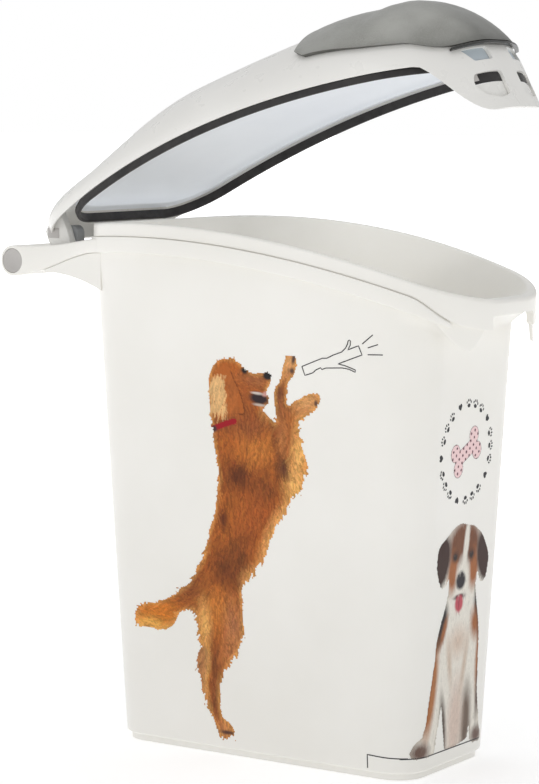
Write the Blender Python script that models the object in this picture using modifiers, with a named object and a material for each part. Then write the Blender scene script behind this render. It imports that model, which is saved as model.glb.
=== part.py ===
"""A tall pet food bin: a draughted tub with a boat-shaped mouth, a rim collar with a pouring handle,
and a domed lid that stands half open on its hinge. Metres, +Z up, front towards -Y, base at Z = 0."""

import math

import bmesh
import bpy
from mathutils import Euler, Matrix, Vector

NAME = "pet_food_bin"
GAP = 0.0003

# Mouth of the tub, seen from above: its half width and its height follow two arcs along Y.
MOUTH_HALF = 0.1035
MOUTH_WIDEST_Y = 0.024
MOUTH_TAPER = 0.596
RIM_TOP = 0.4415
RIM_CREST_Y = 0.100
RIM_DROP = 0.617
MOUTH_FRONT = -0.200
MOUTH_BACK = 0.166

# Tub
BASE_HALF = 0.068
BASE_FRONT = -0.146
BASE_BACK = 0.148
BASE_CORNER = 0.029
PLINTH_INSET = 0.004
PLINTH_HEIGHT = 0.005
WALL = 0.0028
FLOOR = 0.0035
SHOULDER_FRONT = -0.165
SHOULDER_DROP = 0.034
LIP_BAND = 0.011
APRON_DROP = 0.024
CHEEK_DROP = 0.043
STEP = 0.003

# Collar and handle
SKIRT_DROP = 0.0245
SKIRT_PROUD = 0.002
BAR_Y = 0.237
BAR_Z = 0.406
BAR_RADIUS = 0.0128
ARM_OUTER = 0.089
ARM_THICK = 0.010
SHELF_BACK = 0.198
SHELF_TOP = 0.4035
SHELF_THICK = 0.004

# Lid, modelled shut and turned open about its hinge
HINGE_Y = 0.190
HINGE_Z = 0.413
OPEN_DEG = 27.7
LID_PROUD = 0.0045
LID_FRONT = -0.217
LID_BACK = 0.207
LID_WALL = 0.0025
CREST_BACK = 0.0285
CREST_MIDDLE = 0.048
CREST_FRONT = 0.055
DOME_POWER = 1.8
PANEL_CREST = 0.018
GRIP_BACK = -0.086
GRIP_START = 0.16
LID_EDGE = 0.0017
RIDGE_FRONT = -0.148
RIDGE_BACK = 0.127
BEAK_TIP_Z = 0.338
SEAL_LOW = 0.0078
PIN_RADIUS = 0.003
LUG_INNER = 0.0685
LUG_OUTER = 0.0765

# Release trigger
TRIGGER_Y = -0.2070
TRIGGER_Z = 0.3925

# Points round an outline
FRONT_STEPS = 7
FLAT_STEPS = 2
SIDE_STEPS = 9
BACK_STEPS = 6

# Thin shells on which the EXACT solver leaves open edges
THIN_SHELLS = ("tub", "rim_collar", "lid_shell")


def mouth_half(y):
    return MOUTH_HALF - MOUTH_TAPER * (y - MOUTH_WIDEST_Y) ** 2


def rim_z(y):
    return RIM_TOP - RIM_DROP * (y - RIM_CREST_Y) ** 2


def smooth(value, start, end):
    t = min(1.0, max(0.0, (value - start) / (end - start)))
    return t * t * (3 - 2 * t)


def mix(a, b, t):
    return a + (b - a) * t


def outline(half, front, front_corner, back, back_corner, inset=0.0):
    """Points round a plan that is symmetric about X = 0, from the front centre along +X to the back
    and home along -X. half(y) is the half width; a corner is (radius along X, radius along Y)."""
    front_x, front_y = front_corner
    back_x, back_y = back_corner
    turn_front = front + front_y
    turn_back = back - back_y
    side = []
    for i in range(FLAT_STEPS):
        side.append(((half(front) - front_x) * i / FLAT_STEPS, front + inset))
    for i in range(FRONT_STEPS):
        angle = math.pi / 2 * (1 - i / FRONT_STEPS)
        y = turn_front - (front_y - inset) * math.sin(angle)
        side.append((half(y) - front_x + (front_x - inset) * math.cos(angle), y))
    for i in range(SIDE_STEPS):
        y = mix(turn_front, turn_back, i / SIDE_STEPS)
        side.append((half(y) - inset, y))
    for i in range(BACK_STEPS + 1):
        angle = math.pi / 2 * i / BACK_STEPS
        y = turn_back + (back_y - inset) * math.sin(angle)
        side.append((half(y) - back_x + (back_x - inset) * math.cos(angle), y))
    for i in range(1, FLAT_STEPS + 1):
        side.append(((half(back) - back_x) * (1 - i / FLAT_STEPS), back - inset))
    return side + [(-x, y) for x, y in reversed(side[1:-1])]


def mouth(inset=0.0):
    return outline(mouth_half, MOUTH_FRONT, (0.058, 0.050), MOUTH_BACK, (0.038, 0.038), inset)


def shoulder(inset=0.0):
    return outline(
        lambda y: mouth_half(y) - STEP, SHOULDER_FRONT, (0.030, 0.030), MOUTH_BACK - STEP, (0.035, 0.035), inset
    )


def base(inset=0.0):
    corner = (BASE_CORNER, BASE_CORNER)
    return outline(lambda y: BASE_HALF, BASE_FRONT, corner, BASE_BACK, corner, inset)


def lid_plan(inset=0.0):
    return outline(
        lambda y: mouth_half(y) + LID_PROUD, LID_FRONT, (0.060, 0.067), LID_BACK, (0.045, 0.045), inset
    )


def nose(y):
    """0 along the sides of the mouth, rising to 1 at its front."""
    return smooth(y, -0.153, -0.188)


def at_height(points, height):
    """Lifts a plan outline: height is a number, or a function of x and y."""
    if callable(height):
        return [(x, y, height(x, y)) for x, y in points]
    return [(x, y, height) for x, y in points]


def between(first, second, t):
    return [tuple(mix(a, b, t) for a, b in zip(p, q)) for p, q in zip(first, second)]


# Objects


def material(name, colour, roughness, metallic=0.0):
    made = bpy.data.materials.new(name)
    made.use_nodes = True
    shader = made.node_tree.nodes["Principled BSDF"]
    shader.inputs["Base Color"].default_value = (*colour, 1.0)
    shader.inputs["Roughness"].default_value = roughness
    shader.inputs["Metallic"].default_value = metallic
    made.diffuse_color = (*colour, 1.0)
    return made


def new_object(name, mesh, collection):
    made = bpy.data.objects.new(name, mesh)
    collection.objects.link(made)
    return made


def finish(obj, surface):
    obj.data.materials.clear()
    obj.data.materials.append(surface)
    if obj.type == "MESH":
        obj.data.shade_smooth()
        obj.data.set_sharp_from_angle(angle=math.radians(35))
    return obj


def loft(name, rings, collection, cap_first=False, cap_last=False, ring_shut=True, section_shut=False):
    """Skins rings of equal length. ring_shut joins each ring's ends; section_shut joins last ring to first."""
    shell = bmesh.new()
    rows = [[shell.verts.new(point) for point in ring] for ring in rings]
    count = len(rings[0])
    across = len(rows) if section_shut else len(rows) - 1
    along = count if ring_shut else count - 1
    for i in range(across):
        low = rows[i]
        high = rows[(i + 1) % len(rows)]
        for j in range(along):
            k = (j + 1) % count
            shell.faces.new((low[j], low[k], high[k], high[j]))
    if cap_first:
        cap_row(shell, rows[0])
    if cap_last:
        cap_row(shell, rows[-1])
    if not ring_shut:
        shell.faces.new([row[0] for row in rows])
        shell.faces.new([row[-1] for row in rows])
    bmesh.ops.recalc_face_normals(shell, faces=shell.faces)
    mesh = bpy.data.meshes.new(name)
    shell.to_mesh(mesh)
    shell.free()
    return new_object(name, mesh, collection)


def cap_row(shell, row):
    """Closes a symmetric ring with strips from its right half to its left half."""
    half = len(row) // 2
    for i in range(half):
        corners = [row[i], row[i + 1], row[-i - 1], row[-i]]
        shell.faces.new(list(dict.fromkeys(corners)))


def box(name, low, high, collection):
    made = bmesh.new()
    bmesh.ops.create_cube(made, size=1.0)
    size = Vector(high) - Vector(low)
    bmesh.ops.scale(made, vec=size, verts=made.verts)
    bmesh.ops.translate(made, vec=(Vector(high) + Vector(low)) / 2, verts=made.verts)
    mesh = bpy.data.meshes.new(name)
    made.to_mesh(mesh)
    made.free()
    return new_object(name, mesh, collection)


def rod(name, start, end, radius, collection, sides=32):
    """A cylinder from start to end along X."""
    made = bmesh.new()
    length = end[0] - start[0]
    bmesh.ops.create_cone(
        made, cap_ends=True, segments=sides, radius1=radius, radius2=radius, depth=abs(length)
    )
    bmesh.ops.rotate(made, cent=(0, 0, 0), matrix=Matrix.Rotation(math.pi / 2, 3, "Y"), verts=made.verts)
    bmesh.ops.translate(made, vec=(Vector(start) + Vector(end)) / 2, verts=made.verts)
    mesh = bpy.data.meshes.new(name)
    made.to_mesh(mesh)
    made.free()
    return new_object(name, mesh, collection)


def plate(name, points, x, thickness, collection):
    """A flat outline in the YZ plane, centred on x, from a filled 2D curve."""
    flat = bpy.data.curves.new(name, "CURVE")
    flat.dimensions = "2D"
    flat.fill_mode = "BOTH"
    flat.extrude = thickness / 2
    spline = flat.splines.new("POLY")
    spline.points.add(len(points) - 1)
    for point, (y, z) in zip(spline.points, points):
        point.co = (y, z, 0.0, 1.0)
    spline.use_cyclic_u = True
    drawn = new_object(name + "_outline", flat, collection)
    # The curve's X and Y become the bin's Y and Z.
    drawn.matrix_world = Matrix(((0, 0, 1, x), (1, 0, 0, 0), (0, 1, 0, 0), (0, 0, 0, 1)))
    bpy.context.view_layer.update()
    solid = bpy.data.meshes.new_from_object(drawn.evaluated_get(bpy.context.evaluated_depsgraph_get()))
    solid.name = name
    weld = bmesh.new()
    weld.from_mesh(solid)
    bmesh.ops.remove_doubles(weld, verts=weld.verts, dist=0.00001)
    bmesh.ops.transform(weld, matrix=drawn.matrix_world, verts=weld.verts)
    bmesh.ops.recalc_face_normals(weld, faces=weld.faces)
    weld.to_mesh(solid)
    weld.free()
    bpy.data.objects.remove(drawn)
    return new_object(name, solid, collection)


def boolean(obj, other, operation):
    step = obj.modifiers.new(operation.lower() + "_" + other.name, "BOOLEAN")
    step.operation = operation
    step.solver = "MANIFOLD" if obj.name in THIN_SHELLS else "EXACT"
    step.object = other
    other.hide_render = True
    other.display_type = "WIRE"
    return obj


def cut(obj, other):
    return boolean(obj, other, "DIFFERENCE")


def join(obj, other):
    return boolean(obj, other, "UNION")


def solidify(obj, thickness, offset=-1.0):
    step = obj.modifiers.new("wall", "SOLIDIFY")
    step.thickness = thickness
    step.offset = offset
    step.use_even_offset = True
    return obj


def arc(centre, radius, start_deg, end_deg, steps):
    points = []
    for i in range(steps + 1):
        angle = math.radians(mix(start_deg, end_deg, i / steps))
        points.append((centre[0] + radius * math.cos(angle), centre[1] + radius * math.sin(angle)))
    return points


# Bin


def under_rim(drop_side, drop_front):
    return lambda x, y: rim_z(y) - mix(drop_side, drop_front, nose(y))


def cheek_drop(x, y):
    """The rim hangs lowest at the two front corners and less across the middle of the apron."""
    corner = nose(y) * smooth(abs(x), 0.036, 0.052)
    return rim_z(y) - 0.0126 - (APRON_DROP - 0.0126) * nose(y) - (CHEEK_DROP - APRON_DROP) * corner


def tub(collection, cutters):
    plinth = base(PLINTH_INSET)
    foot = base()
    waist = shoulder()
    waist_z = at_height(waist, lambda x, y: rim_z(mix(y, MOUTH_FRONT, nose(y))) - SHOULDER_DROP)
    foot_z = at_height(foot, PLINTH_HEIGHT + 0.0015)
    inner_foot = at_height(base(WALL), FLOOR + 0.004)
    inner_waist = at_height(shoulder(WALL), lambda x, y: rim_z(mix(y, MOUTH_FRONT, nose(y))) - SHOULDER_DROP)
    behind = outline(
        lambda y: mouth_half(y) - STEP, MOUTH_FRONT + 0.007, (0.055, 0.043), MOUTH_BACK - STEP, (0.035, 0.035)
    )
    inside_apron = outline(
        lambda y: mouth_half(y) - STEP, MOUTH_FRONT + STEP, (0.055, 0.047), MOUTH_BACK - STEP, (0.035, 0.035)
    )
    rings = [
        at_height(plinth, 0.0),
        at_height(plinth, PLINTH_HEIGHT),
        foot_z,
        between(foot_z, waist_z, 0.35),
        between(foot_z, waist_z, 0.70),
        waist_z,
        at_height(behind, under_rim(0.0140, 0.0150)),
        at_height(behind, lambda x, y: cheek_drop(x, y) - 0.0006),
        at_height(inside_apron, cheek_drop),
        at_height(inside_apron, under_rim(LIP_BAND + 0.0006, APRON_DROP - 0.0004)),
        at_height(mouth(), under_rim(LIP_BAND, APRON_DROP)),
        at_height(mouth(), under_rim(0.0015, 0.0025)),
        at_height(mouth(0.0015), under_rim(0.0, 0.0)),
        at_height(inner_lip(), under_rim(0.0005, 0.003)),
        inner_waist,
        between(inner_foot, inner_waist, 0.5),
        inner_foot,
        at_height(base(WALL + 0.004), FLOOR),
    ]
    made = loft("tub", rings, collection, cap_first=True, cap_last=True)
    notch = box("apron_notch_cutter", (-0.033, -0.22, 0.350), (0.033, -0.1905, 0.3745), cutters)
    cut(made, notch)
    for side in (-1, 1):
        join(made, handle_gusset(side, cutters))
    return made


def inner_lip():
    """Inner edge of the rim's flat, 5 mm in along the sides and 11 mm in at the front."""
    return outline(
        lambda y: mouth_half(y) - 0.005, MOUTH_FRONT + 0.011, (0.052, 0.039), MOUTH_BACK - 0.005, (0.033, 0.033)
    )


def arm_low(y):
    """Height of the handle arm's underside."""
    return mix(rim_z(y) - SKIRT_DROP, BAR_Z - BAR_RADIUS + 0.001, smooth(y, 0.150, BAR_Y))


def handle_gusset(side, cutters):
    """The web below each handle arm, flaring back out of the tub's rear corner."""
    under = [(y, arm_low(y) - 2 * GAP) for y in (0.204, 0.194, 0.182, 0.168, 0.155, 0.143)]
    points = [*arc((0.205, 0.253), 0.145, 115.3, 90.5, 8), *under]
    name = "gusset_%s" % ("left" if side < 0 else "right")
    return plate(name, points, side * 0.0865, 0.0045, cutters)


def rim_collar(collection, cutters):
    plan = mouth()
    last = next(i for i, (x, y) in enumerate(plan) if y > -0.181)
    count = len(plan)
    chosen = range(last, count - last + 1)
    inner = [mouth(STEP - GAP)[i] for i in chosen]
    outer = [mouth(-SKIRT_PROUD)[i] for i in chosen]
    low = under_rim(SKIRT_DROP, APRON_DROP + 0.0030)
    top = under_rim(LIP_BAND + GAP, APRON_DROP + 0.0009)
    inner_top = under_rim(LIP_BAND + 0.0010, APRON_DROP + 0.0012)
    rings = [at_height(inner, low), at_height(outer, low), at_height(outer, top), at_height(inner, inner_top)]
    made = loft("rim_collar", rings, collection, ring_shut=False, section_shut=True)
    for side in (-1, 1):
        join(made, handle_arm(side, cutters))
        rib_x = sorted((side * 0.0785, side * 0.0838))
        rib = box("hinge_rib_%d" % side, (rib_x[0], MOUTH_BACK - 0.004, SHELF_TOP - SHELF_THICK),
                  (rib_x[1], SHELF_BACK, 0.4180), cutters)
        join(made, rib)
        join(made, rod("arm_boss_%d" % side, (side * 0.0785, BAR_Y, BAR_Z), (side * ARM_OUTER, BAR_Y, BAR_Z),
                       BAR_RADIUS + 0.0002, cutters))
    shelf = box(
        "shelf", (-0.081, MOUTH_BACK - 0.004, SHELF_TOP - SHELF_THICK), (0.081, SHELF_BACK, SHELF_TOP), cutters
    )
    join(made, shelf)
    cut(made, tub_envelope(cutters))
    for side in (-1, 1):
        cut(made, rod("plug_seat_%d" % side, (side * 0.0865, BAR_Y, BAR_Z), (side * 0.095, BAR_Y, BAR_Z),
                      0.0106, cutters))
        cut(made, rod("pin_hole_%d" % side, (side * 0.0760, HINGE_Y, HINGE_Z), (side * 0.0840, HINGE_Y, HINGE_Z),
                      PIN_RADIUS + GAP, cutters, 24))
    return made


def handle_arm(side, cutters):
    """A tapered bar of upright sections from the skirt back to the handle bar."""
    rings = []
    for i in range(9):
        y = mix(0.112, BAR_Y, i / 8)
        t = smooth(y, 0.112, 0.200)
        outer = mix(mouth_half(y) + SKIRT_PROUD - 0.0001, ARM_OUTER, t)
        inner = outer - mix(0.006, ARM_THICK, t)
        rise = mix(rim_z(y) - LIP_BAND - 0.0013, BAR_Z + BAR_RADIUS, smooth(y, 0.130, BAR_Y))
        corners = ((inner, arm_low(y)), (outer, arm_low(y)), (outer, rise), (inner, rise))
        rings.append([(side * x, y, z) for x, z in corners])
    made = loft("arm_%s" % ("left" if side < 0 else "right"), rings, cutters)
    return close_ends(made)


def close_ends(obj):
    shell = bmesh.new()
    shell.from_mesh(obj.data)
    bmesh.ops.holes_fill(shell, edges=shell.edges, sides=0)
    bmesh.ops.recalc_face_normals(shell, faces=shell.faces)
    shell.to_mesh(obj.data)
    shell.free()
    return obj


def tub_envelope(cutters):
    """The tub's outside with a running gap, taken out of whatever sits round it."""
    skin = mouth(STEP - GAP)
    return loft(
        "tub_envelope", [at_height(skin, 0.335), at_height(skin, 0.460)], cutters, cap_first=True, cap_last=True
    )


def handle_bar(collection):
    made = rod("handle_bar", (-0.0782, BAR_Y, BAR_Z), (0.0782, BAR_Y, BAR_Z), BAR_RADIUS, collection)
    return made


def handle_plug(side, collection, cutters):
    name = "handle_plug_%s" % ("left" if side < 0 else "right")
    seat = side * (0.0865 + GAP)
    made = rod(name, (seat, BAR_Y, BAR_Z), (side * (ARM_OUTER - 0.0003), BAR_Y, BAR_Z), 0.0103, collection)
    dish = bmesh.new()
    bmesh.ops.create_uvsphere(dish, u_segments=32, v_segments=24, radius=0.040)
    bmesh.ops.translate(dish, vec=(side * (ARM_OUTER + 0.0385), BAR_Y, BAR_Z), verts=dish.verts)
    mesh = bpy.data.meshes.new(name + "_dish")
    dish.to_mesh(mesh)
    dish.free()
    return cut(made, new_object(name + "_dish", mesh, cutters))


def hinge_block(side, collection, cutters):
    """A round-topped post on the shelf, inboard of the lid's lug."""
    name = "hinge_block_%s" % ("left" if side < 0 else "right")
    half = 0.0065
    top = 0.4300
    foot = SHELF_TOP + GAP
    points = [(HINGE_Y - half, foot), (HINGE_Y + half, foot), *arc((HINGE_Y, top), half, 0, 180, 8)]
    made = plate(name, points, side * 0.0625, 0.010, collection)
    hole = rod(name + "_hole", (side * 0.050, HINGE_Y, HINGE_Z), (side * 0.075, HINGE_Y, HINGE_Z),
               PIN_RADIUS + GAP, cutters, 24)
    return cut(made, hole)


def hinge_pin(side, collection):
    name = "hinge_pin_%s" % ("left" if side < 0 else "right")
    return rod(name, (side * 0.0585, HINGE_Y, HINGE_Z), (side * 0.0835, HINGE_Y, HINGE_Z), PIN_RADIUS,
               collection, 24)


def friction_washer(side, collection, cutters):
    name = "friction_washer_%s" % ("left" if side < 0 else "right")
    made = rod(name, (side * (LUG_OUTER + GAP), HINGE_Y, HINGE_Z), (side * 0.0783, HINGE_Y, HINGE_Z), 0.0062,
               collection)
    hole = rod(name + "_hole", (side * 0.070, HINGE_Y, HINGE_Z), (side * 0.085, HINGE_Y, HINGE_Z),
               PIN_RADIUS + GAP, cutters, 24)
    return cut(made, hole)


# Lid, in its shut place


def lid_foot(x, y):
    """Lower edge of the lid: just over the rim's band, and far down round the beak."""
    front = smooth(y, -0.182, -0.213)
    return mix(rim_z(y) - LID_EDGE, BEAK_TIP_Z, front)


def lid_turn(x, y):
    """Where the lid's skirt ends and its dome starts."""
    front = smooth(y, -0.182, -0.213)
    return mix(rim_z(y) + 0.004, 0.378, front)


def lid_crest(y):
    """How high the lid's ridge stands above the rim: lowest at the back, highest under the grip."""
    middle = mix(CREST_MIDDLE, CREST_BACK, smooth(y, 0.020, 0.150))
    return mix(middle, CREST_FRONT, smooth(y, 0.0, -0.160))


def dome_ring(plan, rise, turn, front=RIDGE_FRONT, back=RIDGE_BACK, crest=lid_crest, power=DOME_POWER):
    """One ring of a dome over plan: rise runs from 0 at the edge to 1 near the ridge."""
    along = math.cos(math.pi / 2 * rise) ** (2 / power)
    up = math.sin(math.pi / 2 * rise) ** (2 / power)
    ring = []
    for x, y in plan:
        ridge_y = min(back, max(front, y))
        low = turn(x, y)
        high = rim_z(ridge_y) + crest(ridge_y)
        ring.append((x * along, mix(ridge_y, y, along), mix(low, high, up)))
    return ring


DOME_STEPS = (0.0, 0.16, 0.32, 0.48, 0.64, 0.80, 0.93)


def lid_shell(collection, cutters):
    plan = lid_plan()
    rings = [at_height(plan, lid_foot)]
    rings += [dome_ring(plan, rise, lid_turn) for rise in DOME_STEPS]
    made = loft("lid_shell", rings, collection, cap_last=True)
    solidify(made, LID_WALL)
    for side in (-1, 1):
        join(made, lid_lug(side, cutters))
        cut(made, finger_pocket(side, cutters))
        cut(made, beak_window(side, cutters))
        cut(made, rod("lug_hole_%d" % side, (side * 0.065, HINGE_Y, HINGE_Z), (side * 0.080, HINGE_Y, HINGE_Z),
                      PIN_RADIUS + GAP, cutters, 24))
    return made


def lid_lug(side, cutters):
    eye = arc((HINGE_Y, HINGE_Z), 0.0085, 190, 350, 10)
    points = [*eye, (0.2010, 0.4300), (0.2000, 0.4385), (0.1905, 0.4450), (0.1785, 0.4465), (0.1785, 0.4300)]
    middle = side * (LUG_INNER + LUG_OUTER) / 2
    return plate("lug_%s" % ("left" if side < 0 else "right"), points, middle, LUG_OUTER - LUG_INNER, cutters)


def front_prism(name, points, cutters):
    """A flat outline in the XZ plane, run through the front of the beak."""
    rings = []
    for y in (-0.240, -0.1985):
        rings.append([(x, y, z) for x, z in points])
    return close_ends(loft(name, rings, cutters))


def finger_pocket(side, cutters):
    points = [(0.016, 0.3800), (0.037, 0.3800), (0.044, 0.3915), (0.016, 0.3915)]
    return front_prism("pocket_%d" % side, [(side * x, z) for x, z in points], cutters)


def beak_window(side, cutters):
    points = [(0.012, 0.3700), (0.043, 0.3700), (0.046, 0.3620), (0.040, 0.3520), (0.026, 0.3470), (0.012, 0.3500)]
    return front_prism("window_%d" % side, [(side * x, z) for x, z in points], cutters)


def panel_floor(x, y):
    return rim_z(y) + 0.0016


def lid_inner_panel(collection):
    """The lining: a flat flange over the rim, then a shallow vault below the lid's dome."""
    plan = outline(
        lambda y: mouth_half(y) + 0.0005, MOUTH_FRONT - 0.0005, (0.058, 0.050), MOUTH_BACK + 0.001, (0.038, 0.038)
    )
    vault = outline(
        lambda y: mouth_half(y) - 0.008, MOUTH_FRONT + 0.008, (0.052, 0.044), MOUTH_BACK - 0.007, (0.033, 0.033)
    )
    rings = [at_height(plan, panel_floor)]
    rings += [
        dome_ring(vault, rise, panel_floor, front=-0.150, back=0.110, crest=lambda y: PANEL_CREST, power=2.2)
        for rise in (0.0, 0.2, 0.4, 0.6, 0.8, 0.93)
    ]
    made = loft("lid_inner_panel", rings, collection, cap_last=True)
    return solidify(made, 0.0018, 1.0)


def lid_seal(collection):
    """A black bead below the lid's edge, outside the rim's band, with a root behind the skirt."""
    inner = mouth(-0.0006)
    bead = mouth(-0.0041)
    root = mouth(-0.0015)
    rings = [
        at_height(inner, lambda x, y: rim_z(y) - SEAL_LOW),
        at_height(bead, lambda x, y: rim_z(y) - SEAL_LOW),
        at_height(bead, lambda x, y: rim_z(y) - LID_EDGE - 0.0005),
        at_height(root, lambda x, y: rim_z(y) - LID_EDGE - 0.0004),
        at_height(root, lambda x, y: rim_z(y) - 0.0004),
        at_height(inner, lambda x, y: rim_z(y) - 0.0004),
    ]
    return loft("lid_seal", rings, collection, section_shut=True)


def grip_rings(offset, start):
    """The front of the lid's dome, moved out by offset, from rise start up to the ridge."""
    plan = lid_plan(-offset)
    front = [i for i, (x, y) in enumerate(plan) if y < GRIP_BACK]
    half = len([i for i in front if i < len(plan) // 2])
    order = list(range(half - 1, 0, -1)) + [0] + list(range(len(plan) - 1, len(plan) - half, -1))
    rises = [mix(start, 0.97, i / 6) for i in range(7)]
    rings = []
    for rise in rises:
        ring = dome_ring(plan, rise, lid_turn, crest=lambda y: lid_crest(y) + offset)
        rings.append([ring[i] for i in order])
    return rings


def grip_cover(collection):
    """A soft-touch shell over the front of the dome, closed along the ridge by a strip."""
    rings = grip_rings(GAP + 0.0005, GRIP_START)
    made = bmesh.new()
    rows = [[made.verts.new(point) for point in ring] for ring in rings]
    for low, high in zip(rows, rows[1:]):
        for j in range(len(low) - 1):
            made.faces.new((low[j], low[j + 1], high[j + 1], high[j]))
    top = rows[-1]
    last = len(top) - 1
    for i in range(last // 2):
        corners = [top[i], top[i + 1], top[last - i - 1], top[last - i]]
        made.faces.new(list(dict.fromkeys(corners)))
    bmesh.ops.recalc_face_normals(made, faces=made.faces)
    if sum(face.normal.z for face in made.faces) < 0:
        bmesh.ops.reverse_faces(made, faces=made.faces)
    mesh = bpy.data.meshes.new("grip_cover")
    made.to_mesh(mesh)
    made.free()
    return solidify(new_object("grip_cover", mesh, collection), 0.0036, 1.0)


def grip_base_plate(collection):
    """A thin crescent under the front edge of the grip."""
    inner = lid_plan(0.0009)
    outer = lid_plan(-0.0030)
    half = len([1 for i, (x, y) in enumerate(inner) if i < len(inner) // 2 and x < 0.052 and y < -0.1])
    order = list(range(half - 1, 0, -1)) + [0] + list(range(len(inner) - 1, len(inner) - half, -1))
    low, high = 0.3925, 0.3945
    rings = [
        [(*inner[i], low) for i in order],
        [(*outer[i], low) for i in order],
        [(*outer[i], high) for i in order],
        [(*inner[i], high) for i in order],
    ]
    return loft("grip_base_plate", rings, collection, ring_shut=False, section_shut=True)


def release_trigger(collection, cutters):
    """A lever inside the beak: two finger pads behind the pockets and a hook under the apron."""
    made = box("release_trigger", (-0.012, -0.2095, 0.3695), (0.012, -0.2050, 0.3975), collection)
    join(made, box("trigger_wings", (-0.033, -0.2080, 0.3800), (0.033, -0.2055, 0.3905), cutters))
    join(made, box("trigger_hook", (-0.012, -0.2060, 0.3695), (0.012, -0.1965, 0.3730), cutters))
    join(made, rod("trigger_barrel", (-0.012, TRIGGER_Y, TRIGGER_Z), (0.012, TRIGGER_Y, TRIGGER_Z), 0.0035, cutters))
    hole = rod("trigger_hole", (-0.015, TRIGGER_Y, TRIGGER_Z), (0.015, TRIGGER_Y, TRIGGER_Z), 0.0018, cutters, 24)
    return cut(made, hole)


def trigger_pin(collection):
    return rod("trigger_pin", (-0.0145, TRIGGER_Y, TRIGGER_Z), (0.0145, TRIGGER_Y, TRIGGER_Z), 0.0015, collection, 24)


def trigger_spring(collection):
    """A short coil between the lever's lower end and the front of the beak."""
    turns, radius, wire = 4, 0.0022, 0.00035
    start, end = -0.2138, -0.2102
    steps = 10
    coil = bpy.data.curves.new("trigger_spring", "CURVE")
    coil.dimensions = "3D"
    coil.bevel_depth = wire
    coil.bevel_resolution = 1
    coil.use_fill_caps = True
    spline = coil.splines.new("POLY")
    spline.points.add(turns * steps)
    for i, point in enumerate(spline.points):
        angle = 2 * math.pi * i / steps
        y = mix(start, end, i / (turns * steps))
        point.co = (radius * math.cos(angle), y, 0.3740 + radius * math.sin(angle), 1.0)
    made = new_object("trigger_spring", coil, collection)
    return made


def build():
    for obj in list(bpy.data.objects):
        bpy.data.objects.remove(obj, do_unlink=True)
    scene = bpy.context.scene
    parts = bpy.data.collections.new(NAME)
    cutters = bpy.data.collections.new(NAME + "_cutters")
    scene.collection.children.link(parts)
    scene.collection.children.link(cutters)
    cutters.hide_render = True

    white = material("white_plastic", (0.86, 0.86, 0.84), 0.38)
    lid_white = material("lid_white", (0.86, 0.87, 0.88), 0.35)
    panel = material("panel_blue_grey", (0.62, 0.65, 0.70), 0.40)
    grey = material("hinge_grey", (0.40, 0.41, 0.42), 0.45)
    plug = material("plug_grey", (0.62, 0.60, 0.59), 0.45)
    rubber = material("seal_black", (0.02, 0.02, 0.02), 0.75)
    soft = material("grip_grey", (0.33, 0.34, 0.31), 0.55)
    dark = material("base_plate_dark", (0.08, 0.08, 0.08), 0.40)
    blue = material("trigger_blue_grey", (0.52, 0.58, 0.62), 0.40)
    steel = material("pin_steel", (0.60, 0.60, 0.60), 0.30, 1.0)

    finish(tub(parts, cutters), white)
    finish(rim_collar(parts, cutters), white)
    finish(handle_bar(parts), white)
    for side in (-1, 1):
        finish(handle_plug(side, parts, cutters), plug)
        finish(hinge_block(side, parts, cutters), grey)
        finish(hinge_pin(side, parts), steel)
        finish(friction_washer(side, parts, cutters), rubber)

    axis = new_object("lid_hinge_axis", None, parts)
    axis.location = (0, HINGE_Y, HINGE_Z)
    axis.rotation_euler = Euler((math.radians(-OPEN_DEG), 0, 0))
    before = set(bpy.data.objects)
    lid_pieces = [
        finish(lid_shell(parts, cutters), lid_white),
        finish(lid_inner_panel(parts), panel),
        finish(lid_seal(parts), rubber),
        finish(grip_cover(parts), soft),
        finish(grip_base_plate(parts), dark),
        finish(trigger_pin(parts), steel),
        finish(trigger_spring(parts), steel),
    ]
    trigger = finish(release_trigger(parts, cutters), blue)
    lid_tools = set(bpy.data.objects) - before - set(lid_pieces) - {trigger}
    trigger_axis = new_object("trigger_axis", None, parts)
    trigger_axis.parent = axis
    trigger_axis.location = (0, TRIGGER_Y - HINGE_Y, TRIGGER_Z - HINGE_Z)
    for obj in [*lid_pieces, *lid_tools]:
        obj.parent = axis
        obj.location = (0, -HINGE_Y, -HINGE_Z)
    trigger.parent = trigger_axis
    trigger.location = (0, -TRIGGER_Y, -TRIGGER_Z)


build()
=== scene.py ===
"""The pet food bin's looks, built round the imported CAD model: finer mouldings, the grip and the printed wall.

Metres, +Z up, front towards -Y, base at Z = 0. The print is drawn in millimetres on the wall.
"""

import math

import bmesh
import bpy
import numpy as np
from mathutils import Matrix, Vector
from mathutils.bvhtree import BVHTree

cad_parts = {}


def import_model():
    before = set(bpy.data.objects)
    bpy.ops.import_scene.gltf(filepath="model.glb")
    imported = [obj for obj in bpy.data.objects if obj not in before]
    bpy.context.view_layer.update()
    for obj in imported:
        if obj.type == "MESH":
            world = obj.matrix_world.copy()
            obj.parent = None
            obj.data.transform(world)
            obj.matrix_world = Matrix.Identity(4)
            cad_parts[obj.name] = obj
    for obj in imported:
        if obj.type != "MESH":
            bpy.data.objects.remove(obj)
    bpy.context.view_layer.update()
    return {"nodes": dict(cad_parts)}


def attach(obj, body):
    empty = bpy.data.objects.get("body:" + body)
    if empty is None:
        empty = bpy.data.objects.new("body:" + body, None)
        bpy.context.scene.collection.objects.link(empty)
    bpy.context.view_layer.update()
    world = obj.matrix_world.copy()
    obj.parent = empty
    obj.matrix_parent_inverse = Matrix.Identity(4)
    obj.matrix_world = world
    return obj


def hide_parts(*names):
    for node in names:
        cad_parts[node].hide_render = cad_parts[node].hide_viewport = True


# The mouldings' dimensions, as in the CAD model
GAP = 0.0003
MOUTH_HALF = 0.1035
MOUTH_WIDEST_Y = 0.024
MOUTH_TAPER = 0.596
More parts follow.
